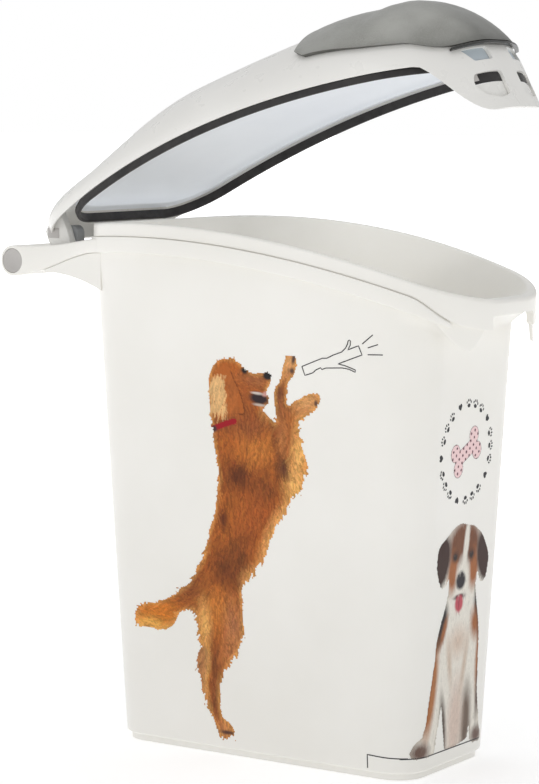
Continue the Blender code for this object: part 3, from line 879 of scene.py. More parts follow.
def grip():
    """The soft-touch skin over the front of the dome, with a rounded edge all the way round."""
    rings = []
    for offset, padded in ((GAP + 0.0005, False), (GAP + 0.0039, True)):
        plan = lid_plan(-offset)
        order = across_front(plan, lambda x, y: y < GRIP_BACK)
        layer = []
        for t in np.linspace(0, 1, 15):
            layer.append(grip_ring(plan, t, offset, padded)[order])
        rings.append(np.array(layer))
    inner, outer = rings
    count = inner.shape[1]
    shape = bmesh.new()
    grids = []
    for layer in (inner, outer):
        grids.append([[shape.verts.new(point) for point in ring] for ring in layer])
    for grid in grids:
        for low, high in zip(grid, grid[1:]):
            for j in range(count - 1):
                shape.faces.new((low[j], low[j + 1], high[j + 1], high[j]))
        top = grid[-1]
        for i in range((count - 1) // 2):
            corners = [top[i], top[i + 1], top[count - i - 2], top[count - i - 1]]
            shape.faces.new(list(dict.fromkeys(corners)))
    a, b = grids
    rim = [(i, 0) for i in range(len(a) - 1, 0, -1)] + [(0, j) for j in range(count)]
    rim += [(i, count - 1) for i in range(1, len(a))]
    for (i, j), (k, l) in zip(rim, rim[1:] + rim[:1]):
        shape.faces.new((a[i][j], a[k][l], b[k][l], b[i][j]))
    made = from_bmesh("grip_skin", shape)
    return opened(soften(made, 0.0012))


def grip_plate():
    inner = lid_plan(0.0009)
    outer = lid_plan(-0.0030)
    order = across_front(inner, lambda x, y: x < 0.052 and y < -0.1)
    corners = [(inner, PLATE_LOW), (outer, PLATE_LOW), (outer, PLATE_HIGH), (inner, PLATE_HIGH)]
    rings = [at_height([plan[i] for i in order], height) for plan, height in corners]
    rings = rounded(rings, [0.0004] * 4, shut=True)
    return opened(loft("grip_edge", rings, ring_shut=False, section_shut=True))


def trigger():
    made = block("release_lever", (-0.012, -0.2095, 0.3695), (0.012, -0.2050, 0.3975), 0.0007)
    join(made, block("wings", (-0.033, -0.2080, 0.3800), (0.033, -0.2055, 0.3905), 0.0006))
    join(made, block("hook", (-0.012, -0.2060, 0.3695), (0.012, -0.1965, 0.3730), 0.0006))
    join(made, plain_round("barrel", 1, -0.012, 0.012, 0.0035, TRIGGER_PIVOT, 32))
    return opened(cut(made, plain_round("hole", 1, -0.015, 0.015, 0.0018, TRIGGER_PIVOT, 24)))


def beak_lining(name, x_range, z_range, inset, thickness):
    """A thin piece that follows the inside of the beak's wall."""
    rings = []
    for z in np.linspace(*z_range, 7):
        rise = 0.0
        if z > BEAK_SHOULDER_Z:
            top = rim_z(RIDGE_FRONT) + CREST_FRONT
            share = (z - BEAK_SHOULDER_Z) / (top - BEAK_SHOULDER_Z)
            rise = math.asin(share ** (DOME_POWER / 2)) * 2 / math.pi
        along = math.cos(math.pi / 2 * rise) ** (2 / DOME_POWER)
        rows = []
        for depth in (inset, inset + thickness):
            plan = lid_plan(depth)[: FRONT_FLAT + FRONT_STEPS]
            xs = np.array([x * along for x, y in plan])
            ys = np.array([mix(RIDGE_FRONT, y, along) for x, y in plan])
            spots = np.linspace(*x_range, 12)
            rows.append([(x, y, z) for x, y in zip(spots, np.interp(spots, xs, ys))])
        rings.append(np.array(rows[0] + rows[1][::-1]))
    return opened(ends_closed(loft(name, rings)))


def lug_shade_patch(side):
    """A grey sheet on the outside of a hinge lug, painted shade standing for a shadowed recess there, level
    when the lid stands open.
    """
    centre_y, centre_z = 0.1925, 0.4335
    half, tall = 0.0058, 0.0042
    turn = math.radians(OPEN_DEG)
    corners = []
    for y, z in rounded_corners([(-half, -tall), (half, -tall), (half, tall), (-half, tall)], 0.0006):
        turned_y = centre_y + y * math.cos(turn) - z * math.sin(turn)
        turned_z = centre_z + y * math.sin(turn) + z * math.cos(turn)
        corners.append((turned_y, turned_z))
    low, high = sorted((side * (LUG_OUTER + 0.00005), side * (LUG_OUTER + 0.00045)))
    return opened(prism("hinge_shade_patch_%s" % ("left" if side < 0 else "right"), corners, "X", low, high))


# Print on the wall, laid on the tub as thin film


def spline(points, closed=True, steps=6):
    """A smooth line through given points."""
    count = len(points)
    made = []
    spans = count if closed else count - 1
    for i in range(spans):
        near = [(i + k) % count if closed else min(count - 1, max(0, i + k)) for k in (-1, 0, 1, 2)]
        p = [np.array(points[k], float) for k in near]
        square = 2 * p[0] - 5 * p[1] + 4 * p[2] - p[3]
        cube = 3 * p[1] - p[0] - 3 * p[2] + p[3]
        for j in range(steps):
            t = j / steps
            made.append(0.5 * (2 * p[1] + (p[2] - p[0]) * t + square * t**2 + cube * t**3))
    if not closed:
        made.append(np.array(points[-1], float))
    return np.array(made)


def inside(points, polygon):
    """Which points lie inside a polygon, by counting crossings."""
    found = np.zeros(len(points), bool)
    a, b = points[:, 0], points[:, 1]
    for (x0, y0), (x1, y1) in zip(polygon, np.roll(polygon, -1, axis=0)):
        if y0 == y1:
            continue
        crosses = (y0 > b) != (y1 > b)
        found ^= crosses & (a < (x1 - x0) * (b - y0) / (y1 - y0) + x0)
    return found


def edge_distance(points, line, closed=True):
    """How far each point is from a line of straight runs."""
    best = np.full(len(points), 1e9)
    ends = np.roll(line, -1, axis=0) if closed else line[1:]
    for start, end in zip(line if closed else line[:-1], ends):
        run = end - start
        t = np.clip(((points - start) @ run) / max(run @ run, 1e-9), 0, 1)
        best = np.minimum(best, np.linalg.norm(points - start - t[:, None] * run, axis=1))
    return best


def film(name, low, high, step, drawing, spot, lift=0.00010):
    """Lays the cells of a grid that drawing colours onto the wall. drawing(points) returns (shown, colours);
    spot(point) returns the wall's point and normal. Grid values are millimetres."""
    across = np.arange(low[0], high[0] + step, step)
    up = np.arange(low[1], high[1] + step, step)
    grid = np.array([(a, b) for b in up for a in across])
    shown, colours = drawing(grid)
    width = len(across)
    rows = shown.reshape(len(up), width)
    cells = rows[:-1, :-1] & rows[1:, :-1] & rows[:-1, 1:] & rows[1:, 1:]
    used = {}
    shape = bmesh.new()
    layer = shape.verts.layers.float_color.new("print")
    for r, c in zip(*np.nonzero(cells)):
        corners = []
        for index in (r * width + c, r * width + c + 1, (r + 1) * width + c + 1, (r + 1) * width + c):
            if index not in used:
                point, normal = spot(grid[index])
                vert = shape.verts.new(point + normal * lift)
                vert[layer] = (*colours[index], 1.0)
                used[index] = vert
            corners.append(used[index])
        shape.faces.new(corners)
    loose = [v for v in shape.verts if not v.link_faces]
    bmesh.ops.delete(shape, geom=loose, context="VERTS")
    mesh = bpy.data.meshes.new(name)
    shape.normal_update()
    outward = sum((face.normal * face.calc_area() for face in shape.faces), Vector())
    middle = sum((vert.co for vert in shape.verts), Vector()) / max(1, len(shape.verts))
    if outward.dot(Vector((middle.x, middle.y, 0))) < 0:
        bmesh.ops.reverse_faces(shape, faces=shape.faces)
    shape.to_mesh(mesh)
    shape.free()
    made = new_object(name, mesh)
    wall = made.modifiers.new("thickness", "SOLIDIFY")
    wall.thickness = 0.00006
    wall.offset = -1.0
    return apply_all(made)


def tree_of(obj):
    mesh = obj.data
    return BVHTree.FromPolygons([v.co for v in mesh.vertices], [p.vertices for p in mesh.polygons])


def side_spot(tree, side):
    """A function from (y, z) in mm to the wall's point and normal on that side."""

    def spot(point):
        start = Vector((side * 1.0, point[0] * MM, point[1] * MM))
        return tree.ray_cast(start, Vector((-side, 0, 0)))[:2]

    return spot


def front_spot(tree):
    """A function from (u, z) in mm to the wall's point and normal, u running round the front corners."""

    def spot(point):
        u, z = point[0] * MM, point[1] * MM
        t = z / (rim_z(MOUTH_FRONT) - SHOULDER_DROP)
        flat = mix(BASE_HALF - BASE_CORNER, mouth_half(SHOULDER_FRONT) - STEP - SHOULDER_CORNER, t)
        radius = mix(BASE_CORNER, SHOULDER_CORNER, t)
        centre_y = mix(BASE_FRONT, SHOULDER_FRONT, t) + radius
        turn = max(0.0, abs(u) - flat) / radius
        sign = 1 if u > 0 else -1
        axis = Vector((sign * min(abs(u), flat), centre_y, z))
        out = Vector((sign * math.sin(turn), -math.cos(turn), 0))
        return tree.ray_cast(axis + out * 0.5, -out)[:2]

    return spot


def strokes(points, colours, shown, starts, directions, lengths, widths, tones, strength):
    """Brushes hairs over the colours, each a tapering straight line."""
    order = np.argsort(points[:, 1], kind="stable")
    sorted_z = points[order, 1]
    for start, direction, length, width, tone in zip(starts, directions, lengths, widths, tones):
        end = start + direction * length
        low = np.searchsorted(sorted_z, min(start[1], end[1]) - width)
        high = np.searchsorted(sorted_z, max(start[1], end[1]) + width)
        near = order[low:high]
        near = near[np.abs(points[near, 0] - (start[0] + end[0]) / 2) < length / 2 + width]
        if not len(near):
            continue
        offset = points[near] - start
        t = offset @ direction / length
        away = np.abs(offset @ np.array((-direction[1], direction[0])))
        reach = width * np.clip(1.15 - t, 0, 1)
        hit = near[(t > 0) & (t < 1) & (away < reach)]
        colours[hit] = mix(colours[hit], tone, strength)
        shown[hit] = True


def directions(degrees):
    """Unit vectors for a list of angles."""
    angles = np.radians(degrees)
    return np.stack([np.cos(angles), np.sin(angles)], 1)


def flow_at(points, guides):
    """The direction in which fur lies, from the nearest of a few given guides."""
    spots = np.array([guide[:2] for guide in guides], float)
    ways = directions([guide[2] for guide in guides])
    gap = np.linalg.norm(points[:, None, :] - spots[None], axis=2) + 3.0
    weight = 1 / gap**3
    way = weight @ ways
    return way / np.linalg.norm(way, axis=1, keepdims=True)


def seen_from(points, a, b, turn):
    """Where the points lie along and across an axis through (a, b), turned by some degrees."""
    angle = math.radians(turn)
    x = (points[:, 0] - a) * math.cos(angle) + (points[:, 1] - b) * math.sin(angle)
    y = -(points[:, 0] - a) * math.sin(angle) + (points[:, 1] - b) * math.cos(angle)
    return x, y


def blob(points, colours, shape, tone, soft):
    """Paints an ellipse (a, b, radius a, radius b, turn in degrees) with a soft edge."""
    a, b, ra, rb, turn = shape
    x, y = seen_from(points, a, b, turn)
    reach = np.sqrt((x / ra) ** 2 + (y / rb) ** 2)
    weight = np.clip((1 + soft - reach) / (2 * soft), 0, 1)[:, None]
    colours[:] = colours * (1 - weight) + np.array(tone) * weight


# A long-haired dog standing up on its hind legs. Points are (y, z) on the side wall, in mm.
JUMPER = [
    (13, 335), (2, 333), (-4, 329), (-11, 325), (-20, 325), (-28, 325), (-30, 321), (-28, 316), (-25, 311),
    (-27, 302), (-24, 298), (-19, 296), (-22, 294), (-29, 288), (-33, 286), (-32, 298), (-32, 311),
    (-38, 320), (-42, 334), (-46, 342), (-50, 344), (-54, 337), (-52, 326), (-46, 318), (-44, 308),
    (-44, 300), (-53, 305), (-63, 310), (-71, 311), (-74, 307), (-72, 302), (-68, 297), (-60, 291),
    (-53, 287), (-54, 280), (-55, 272), (-59, 257), (-60, 252), (-53, 237), (-46, 228), (-40, 220),
    (-32, 206), (-25, 194), (-15, 173), (-4, 160), (2, 153), (7, 146), (8, 134), (8, 121), (8, 111),
    (11, 100), (15, 91), (23, 81), (32, 69), (35, 55), (35, 44), (34, 35), (30, 31), (26, 29), (22, 24),
    (22, 20), (29, 18), (36, 19), (41, 26), (45, 38), (47, 49), (48, 62), (45, 75), (43, 88), (47, 94),
    (52, 98), (54, 110), (55, 120), (58, 123), (65, 121), (72, 117), (79, 106), (88, 102), (99, 101),
    (108, 101), (115, 103), (117, 111), (113, 117), (107, 121), (94, 125), (80, 131), (68, 139), (58, 147),
    (48, 163), (42, 174), (37, 190), (31, 207), (28, 222), (25, 237), (26, 253), (28, 270), (29, 282),
    (30, 293), (31, 303), (31, 312), (30, 320), (26, 328), (20, 333),
]
FAR_LEG = [
    (46, 92), (52, 90), (56, 82), (55, 70), (52, 58), (49, 46), (47, 39), (44, 42), (43, 52), (43, 64),
    (42, 80),
]
JUMPER_FLOW = [
    (10, 326, 100), (22, 310, -80), (-10, 320, 200), (20, 285, -70), (0, 285, -95), (-25, 280, -60),
    (5, 250, -80), (25, 230, -88), (-30, 250, -75), (-45, 240, -110), (10, 200, -85), (-15, 190, -70),
    (30, 180, -60), (15, 150, -95), (0, 140, -88), (30, 120, -90), (10, 100, -80), (25, 70, -85),
    (28, 35, -95), (60, 140, -30), (80, 118, -18), (105, 112, 10), (-38, 320, 110), (-48, 338, 115),
    (-60, 302, 160), (-38, 295, 90),
]


def jumping_dog(points):
    rng = np.random.default_rng(7)
    edge = spline(JUMPER)
    shown = inside(points, edge)
    gap = edge_distance(points, edge)
    body = np.array((0.36, 0.098, 0.016))
    pale = np.array((0.74, 0.38, 0.11))
    deep = np.array((0.115, 0.028, 0.007))
    warm = (0.47, 0.155, 0.028)
    umber = (0.20, 0.055, 0.012)
    far = inside(points, spline(FAR_LEG)) & ~shown
    shown |= far
    colours = np.tile(body, (len(points), 1))
    marks = [
        ((17, 163, 17, 15, 0), deep, 0.7), ((8, 176, 10, 26, 20), umber, 0.7),
        ((5, 241, 15, 11, -10), deep, 0.8), ((23, 204, 4, 8, 0), deep, 0.7),
        ((-15, 265, 15, 13, 0), warm, 0.7), ((-14, 214, 14, 26, 20), (0.34, 0.085, 0.016), 0.7),
        ((-20, 232, 12, 10, 0), umber, 0.9), ((-47, 238, 8, 10, 30), pale, 0.8),
        ((-35, 208, 7, 22, 32), (0.68, 0.33, 0.10), 0.8), ((-24, 186, 7, 18, 32), (0.66, 0.30, 0.09), 0.8),
        ((0, 152, 7, 12, 20), (0.66, 0.30, 0.09), 0.8), ((-39, 275, 7, 20, 0), (0.36, 0.125, 0.035), 0.7),
        ((-39, 250, 7, 8, 0), (0.12, 0.04, 0.015), 0.7), ((-52, 262, 6, 24, 8), pale, 0.7),
        ((-31, 275, 2.5, 20, -6), umber, 0.8), ((-37, 306, 5, 15, 0), (0.20, 0.065, 0.022), 0.7),
        ((-47, 334, 7, 12, 20), (0.60, 0.29, 0.11), 0.7), ((-61, 303, 13, 8, -30), (0.62, 0.30, 0.11), 0.7),
        ((90, 116, 22, 12, 0), (0.52, 0.16, 0.018), 0.6), ((100, 105, 16, 5, 0), (0.72, 0.35, 0.07), 0.8),
        ((55, 141, 13, 10, -40), umber, 0.8), ((34, 126, 15, 16, 0), warm, 0.7),
        ((17, 112, 8, 20, 0), (0.40, 0.155, 0.06), 0.8), ((46, 112, 5, 16, 0), pale, 0.9),
        ((38, 74, 6, 22, 0), umber, 0.7), ((22, 92, 8, 14, 20), (0.42, 0.15, 0.045), 0.8),
        ((40, 46, 4, 16, 0), (0.22, 0.065, 0.018), 0.7), ((31, 25, 10, 7, 0), (0.46, 0.18, 0.06), 0.8),
        ((10, 288, 20, 8, -8), (0.22, 0.06, 0.016), 0.8),
        ((-12, 283, 16, 7, -14), (0.26, 0.075, 0.02), 0.8),
        ((8, 322, 18, 13, 0), (0.40, 0.105, 0.016), 0.6), ((-14, 319, 14, 6, 4), (0.33, 0.11, 0.035), 0.6),
        ((0, 304, 16, 12, 0), (0.32, 0.085, 0.018), 0.8),
    ]
    for shape, tone, soft in marks:
        blob(points, colours, shape, tone, soft)
    colours[far] = (0.40, 0.17, 0.06)
    rim = np.clip(1 - gap / 4.0, 0, 1)[:, None] * 0.55
    colours[:] = colours * (1 - rim) + pale * rim
    count = 9000
    filled = np.nonzero(shown)[0]
    chosen = rng.choice(filled, count)
    starts = points[chosen]
    ways = flow_at(starts, JUMPER_FLOW)
    turn = rng.normal(0, 0.28, count)
    across = np.stack([-ways[:, 1], ways[:, 0]], 1)
    ways = ways * np.cos(turn)[:, None] + across * np.sin(turn)[:, None]
    shade = rng.uniform(0.50, 1.60, (count, 1)) * rng.normal(1, 0.05, (count, 3))
    tones = np.clip(colours[chosen] * shade, 0, 1)
    lengths = np.where(starts[:, 1] > 300, 0.45, 1.0) * rng.uniform(4, 12, count)
    strokes(points, colours, shown, starts, ways, lengths, rng.uniform(0.35, 0.9, count), tones, 0.6)
    ear(points, colours, rng, shown)
    face(points, colours)
    return shown, np.clip(colours, 0, 1)


def ear(points, colours, rng, shown):
    """The hanging ear, with pale locks down its back edge."""
    flap = spline([
        (15, 329), (9, 327), (5, 318), (0, 308), (-3, 298), (-3, 290), (4, 290), (11, 293), (15, 288),
        (20, 284), (26, 290), (29, 302), (28, 314), (22, 324),
    ])
    within = inside(points, flap)
    near = edge_distance(points, flap)
    colours[within] = mix(colours[within], np.array((0.43, 0.115, 0.020)), 0.75)
    line = within & (near < 1.1) & (points[:, 0] < 8)
    colours[line] *= 0.45
    count = 420
    starts = np.stack([rng.uniform(2, 29, count), rng.uniform(292, 322, count)], 1)
    ways = directions(rng.normal(-72, 9, count))
    back = starts[:, 0] > 13
    tones = np.where(back[:, None], (0.78, 0.47, 0.20), (0.42, 0.12, 0.025))
    tones = tones * rng.uniform(0.6, 1.25, (count, 1))
    keep = inside(starts, flap)
    strokes(points, colours, shown, starts[keep], ways[keep], rng.uniform(6, 13, count)[keep],
            rng.uniform(0.5, 1.0, count)[keep], np.clip(tones[keep], 0, 1), 0.6)


def face(points, colours):
    """Muzzle, nose, open mouth, eye, pads and the collar."""
    marks = [
        ((-27, 323, 4.6, 3.6, 0), (0.016, 0.013, 0.014), 0.25),
        ((-18, 304, 9.0, 4.6, 6), (0.030, 0.018, 0.020), 0.3),
        ((-24, 308, 3.2, 1.8, -20), (0.58, 0.30, 0.26), 0.35),
        ((-16, 308.2, 5.5, 1.0, 4), (0.62, 0.54, 0.48), 0.35),
        ((-18, 298.8, 6, 1.0, 4), (0.50, 0.42, 0.36), 0.4),
        ((-5, 326, 3.0, 2.6, 10), (0.018, 0.012, 0.010), 0.35),
        ((-5.8, 327, 0.8, 0.7, 0), (0.55, 0.5, 0.45), 0.3),
        ((-51.5, 338, 1.6, 4.6, 15), (0.10, 0.055, 0.04), 0.4),
        ((-49.5, 328, 2.2, 2.2, 0), (0.12, 0.06, 0.04), 0.4),
        ((-70, 303, 1.6, 2.4, 0), (0.12, 0.06, 0.04), 0.4),
        ((29, 20, 7, 1.6, 0), (0.10, 0.045, 0.03), 0.5),
    ]
    for shape, tone, soft in marks:
        blob(points, colours, shape, tone, soft)
    band = spline([(28, 277), (22, 279), (14, 282), (7, 284)], closed=False)
    strap = edge_distance(points, band, closed=False) < 2.3
    colours[strap] = (0.33, 0.006, 0.014)
    blob(points, colours, (27, 276.5, 2.4, 2.6, 0), (0.07, 0.03, 0.03), 0.3)


# A short-haired dog sitting down, seen from the front. Points are (u, z) round the front corner, in mm.
SITTER = [
    (4, 202), (14, 200), (20, 197), (28, 192), (36, 182), (41, 172), (40, 160), (36, 152), (30, 151),
    (26, 157), (24, 160), (22, 153), (23, 145), (26, 134), (30, 120), (32, 108), (33, 92), (34, 76),
    (35, 60), (38, 44), (41, 30), (45, 22), (44, 16), (36, 15), (28, 17), (25, 26), (24, 34), (22, 22),
    (16, 20), (4, 18), (-8, 18), (-14, 18), (-16, 24), (-20, 40), (-23, 56), (-26, 44), (-29, 30),
    (-31, 19), (-36, 18), (-48, 17), (-58, 18), (-60, 24), (-56, 31), (-49, 36), (-46, 46), (-44, 62),
    (-41, 80), (-38, 96), (-37, 110), (-33, 122), (-27, 136), (-23, 146), (-22, 154), (-23, 160),
    (-28, 155), (-34, 155), (-40, 164), (-43, 176), (-41, 188), (-32, 194), (-23, 199), (-14, 203),
    (-5, 204),
]


def sitting_dog(points):
    rng = np.random.default_rng(11)
    edge = spline(SITTER)
    shown = inside(points, edge)
    gap = edge_distance(points, edge)
    white = np.array((0.78, 0.74, 0.66))
    colours = np.tile(white, (len(points), 1))
    brown = (0.35, 0.115, 0.030)
    black = (0.018, 0.013, 0.012)
    choc = (0.040, 0.013, 0.007)
    marks = [
        ((0, 186, 26, 20, 0), (0.17, 0.055, 0.018), 0.25), ((-17, 165, 8, 16, 0), brown, 0.4),
        ((17, 165, 8, 16, 0), brown, 0.4), ((3, 186, 4, 22, -6), white, 0.3),
        ((0, 160, 10, 16, 0), white, 0.35), ((-1, 141, 14, 9, 0), white, 0.4),
        ((-36, 176, 13, 22, -14), choc, 0.18), ((34, 173, 12, 22, 14), choc, 0.18),
        ((-14, 178, 5.5, 4.5, 0), (0.10, 0.035, 0.015), 0.5),
        ((12, 177, 5.5, 4.5, 0), (0.10, 0.035, 0.015), 0.5), ((-14, 177.5, 3.0, 2.6, 0), black, 0.3),
        ((12, 176.5, 3.0, 2.6, 0), black, 0.3), ((-15, 178.6, 0.4, 0.4, 0), (0.5, 0.5, 0.5), 0.3),
        ((11, 177.6, 0.4, 0.4, 0), (0.5, 0.5, 0.5), 0.3),
        ((-3, 157, 7.5, 7.5, 0), (0.020, 0.014, 0.018), 0.2),
        ((-4, 143.5, 9.5, 2.2, 0), (0.10, 0.04, 0.04), 0.3),
        ((-4, 138, 6.4, 7.0, 0), (0.50, 0.07, 0.095), 0.2),
        ((-4, 138, 0.7, 5.0, 0), (0.30, 0.03, 0.05), 0.5), ((-33, 120, 9, 21, -24), black, 0.25),
        ((30, 126, 7, 24, 12), black, 0.25), ((-26, 118, 3, 12, -20), brown, 0.6),
        ((24, 118, 6, 12, 10), brown, 0.6), ((-41, 72, 8, 38, -6), (0.40, 0.15, 0.045), 0.35),
        ((34, 88, 5, 30, 0), (0.36, 0.13, 0.04), 0.4), ((35, 60, 3.0, 22, 0), (0.14, 0.09, 0.07), 0.5),
        ((-19, 38, 4.5, 26, 10), (0.13, 0.10, 0.08), 0.45), ((17, 38, 8, 28, 0), (0.16, 0.11, 0.08), 0.45),
        ((0, 40, 11, 34, 0), (0.66, 0.53, 0.45), 0.5), ((-50, 23, 10, 7, 0), (0.16, 0.10, 0.08), 0.5),
        ((37, 22, 8, 7, 0), (0.16, 0.10, 0.08), 0.5), ((-2, 106, 12, 10, 0), (0.64, 0.50, 0.40), 0.9),
        ((-14, 90, 3, 16, 12), (0.60, 0.48, 0.38), 0.8), ((10, 84, 3, 20, -10), (0.60, 0.48, 0.38), 0.8),
    ]
    for shape, tone, soft in marks:
        blob(points, colours, shape, tone, soft)
    low = np.array((0.42, 0.34, 0.28))
    shade = np.clip(1 - gap / 3.0, 0, 1)[:, None] * 0.45 * (points[:, 1] < 150)[:, None]
    colours[:] = colours * (1 - shade) + colours * low * shade
    count = 2600
    filled = np.nonzero(shown)[0]
    chosen = rng.choice(filled, count)
    ways = directions(rng.normal(-90, 16, count))
    tones = np.clip(colours[chosen] * rng.uniform(0.72, 1.22, (count, 1)), 0, 1)
    drawn = shown.copy()
    lengths = rng.uniform(2.5, 6, count)
    widths = rng.uniform(0.4, 0.8, count)
    strokes(points, colours, shown, points[chosen], ways, lengths, widths, tones, 0.45)
    return drawn | (shown & (gap < 0.8)), np.clip(colours, 0, 1)


BADGE = (-6.0, 262.0)
BADGE_RADIUS = 39.0


def heart(points, a, b, size, turn):
    x, y = (axis / size for axis in seen_from(points, a, b, turn))
    return (x * x + y * y - 1) ** 3 - x * x * y**3 < 0


def paw(points, a, b, size, turn):
    """A paw print: one pad and four toes."""
    x, y = (axis / size for axis in seen_from(points, a, b, turn))
    found = x**2 + ((y + 0.55) / 0.75) ** 2 < 1
    for toe_x, toe_y in ((-1.25, 0.45), (-0.48, 1.10), (0.48, 1.10), (1.25, 0.45)):
        found |= ((x - toe_x) / 0.42) ** 2 + ((y - toe_y) / 0.58) ** 2 < 1
    return found


def badge_ring(points):
    """Five hearts round a circle, with three paw prints between each two."""
    shown = np.zeros(len(points), bool)
    for i in range(5):
        turns = [(heart, 2.7, 110 + 72 * i)]
        turns += [(paw, 2.6, 146 + 72 * i + 16 * k) for k in (-1, 0, 1)]
        for drawn, size, turn in turns:
            a = BADGE[0] + BADGE_RADIUS * math.cos(math.radians(turn))
            b = BADGE[1] + BADGE_RADIUS * math.sin(math.radians(turn))
            shown |= drawn(points, a, b, size, turn - 90)
    return shown, np.tile(np.array((0.022, 0.022, 0.025)), (len(points), 1))


BONE_TURN = 24.0
BONE_HALF = 14.0


def bone(points):
    """A bone with a dark edge, pale pink with dark dots."""
    x, y = seen_from(points, *BADGE, BONE_TURN)
    away = np.maximum(np.abs(x) - BONE_HALF, 0) ** 2 + np.maximum(np.abs(y) - 4.0, 0) ** 2
    distance = np.sqrt(away) - 2.4
    for end in (-1, 1):
        for part in (-1, 1):
            knob = np.hypot(x - end * (BONE_HALF + 1.5), y - part * 7.0) - 7.6
            distance = np.minimum(distance, knob)
    shown = distance < 0
    colours = np.tile(np.array((0.86, 0.62, 0.62)), (len(points), 1))
    row = np.round(y / 5.0)
    dot_x = np.round((x - 3.0 * (row % 2)) / 6.0) * 6.0 + 3.0 * (row % 2)
    dots = np.hypot(x - dot_x, y - row * 5.0) < 1.15
    colours[dots] = (0.10, 0.025, 0.040)
    colours[distance > -0.7] = (0.10, 0.05, 0.06)
    return shown, colours


def ribbon(name, lines, width, spot, lift=0.00012):
    """Thin printed lines, each a closed strip on the wall. Points are millimetres."""
    shape = bmesh.new()
    layer = shape.verts.layers.float_color.new("print")
    for line in lines:
        line = np.array(line, float)
        ways = np.gradient(line, axis=0)
        ways /= np.linalg.norm(ways, axis=1, keepdims=True)
        across = np.stack([-ways[:, 1], ways[:, 0]], 1) * width / 2
        rows = []
        for middle, offset in zip(line, across):
            left, normal_left = spot(middle + offset)
            right, normal_right = spot(middle - offset)
            rows.append([left + normal_left * lift, right + normal_right * lift, right, left])
        verts = [[shape.verts.new(point) for point in row] for row in rows]
        for low, high in zip(verts, verts[1:]):
            for j in range(4):
                k = (j + 1) % 4
                shape.faces.new((low[j], low[k], high[k], high[j]))
        shape.faces.new(verts[0])
        shape.faces.new(verts[-1])
    for vert in shape.verts:
        vert[layer] = (0.035, 0.035, 0.038, 1.0)
    return from_bmesh(name, shape)


# A broken twig with three marks beside its end, in mm on the side wall
TWIG = [
    (-58.6, 332), (-77, 339.4), (-81, 339.6), (-84, 341), (-86.5, 342.3), (-94, 345), (-97.6, 348.3),
    (-99.3, 351.4), (-100, 354), (-101, 354.8), (-102, 354.2), (-101.8, 351), (-99.6, 347), (-103, 348.4),
    (-108.7, 350.6), (-111.5, 343.5), (-90.6, 335.5), (-96.3, 334.5), (-101, 333), (-105.5, 331.4),
    (-105.2, 329.6), (-100.4, 331.6), (-97, 332.2), (-94, 332.5), (-80, 331.8), (-76.3, 330.4),
    (-75.3, 331.8), (-71, 329.8), (-68.5, 327.6), (-67.2, 327), (-61, 325), (-58.6, 332),
]
MARKS = [
    [(-112, 352.2), (-121, 359.6)],
    [(-116.6, 349.3), (-125.2, 352.2)],
    [(-116.4, 343.9), (-129, 344.2)],
]


def dense(points, step=2.0):
    """The same straight runs with points no further apart than step."""
    made = []
    for start, end in zip(points, points[1:]):
        start, end = np.array(start, float), np.array(end, float)
        count = max(1, int(math.ceil(np.linalg.norm(end - start) / step)))
        made += [start + (end - start) * i / count for i in range(count)]
    made.append(np.array(points[-1], float))
    return made


# Stage


def area_light(name, place_at, look_at, size, power, colour=(1, 1, 1)):
    data = bpy.data.lights.new(name, "AREA")
    data.shape = "RECTANGLE"
    data.size, data.size_y = size
    data.energy = power
    data.color = colour
    made = new_object(name, data)
    made.location = place_at
    made.rotation_euler = (Vector(look_at) - Vector(place_at)).to_track_quat("-Z", "Y").to_euler()
    return made


def studio_world():
    """A soft room, brighter from above and behind, in front of a white backdrop that only the camera sees."""
    world = bpy.data.worlds.new("studio")
    world.use_nodes = True
    tree = world.node_tree
    room = tree.nodes["Background"]
    room.inputs["Color"].default_value = (0.985, 0.99, 1.0, 1.0)
    toward = tree.nodes.new("ShaderNodeTexCoord")
    slope = tree.nodes.new("ShaderNodeVectorMath")
    slope.operation = "DOT_PRODUCT"
    slope.inputs[1].default_value = (-0.06, 0.12, 0.26)
    level = tree.nodes.new("ShaderNodeMath")
    level.operation = "ADD"
    level.inputs[1].default_value = 0.50
    tree.links.new(toward.outputs["Generated"], slope.inputs[0])
    tree.links.new(slope.outputs["Value"], level.inputs[0])
    tree.links.new(level.outputs["Value"], room.inputs["Strength"])
    backdrop = tree.nodes.new("ShaderNodeBackground")
    backdrop.inputs["Color"].default_value = (1.0, 1.0, 1.0, 1.0)
    backdrop.inputs["Strength"].default_value = 1.0
    seen = tree.nodes.new("ShaderNodeLightPath")
    choose = tree.nodes.new("ShaderNodeMixShader")
    tree.links.new(seen.outputs["Is Camera Ray"], choose.inputs["Fac"])
    tree.links.new(room.outputs["Background"], choose.inputs[1])
    tree.links.new(backdrop.outputs["Background"], choose.inputs[2])
    tree.links.new(choose.outputs["Shader"], tree.nodes["World Output"].inputs["Surface"])
    bpy.context.scene.world = world


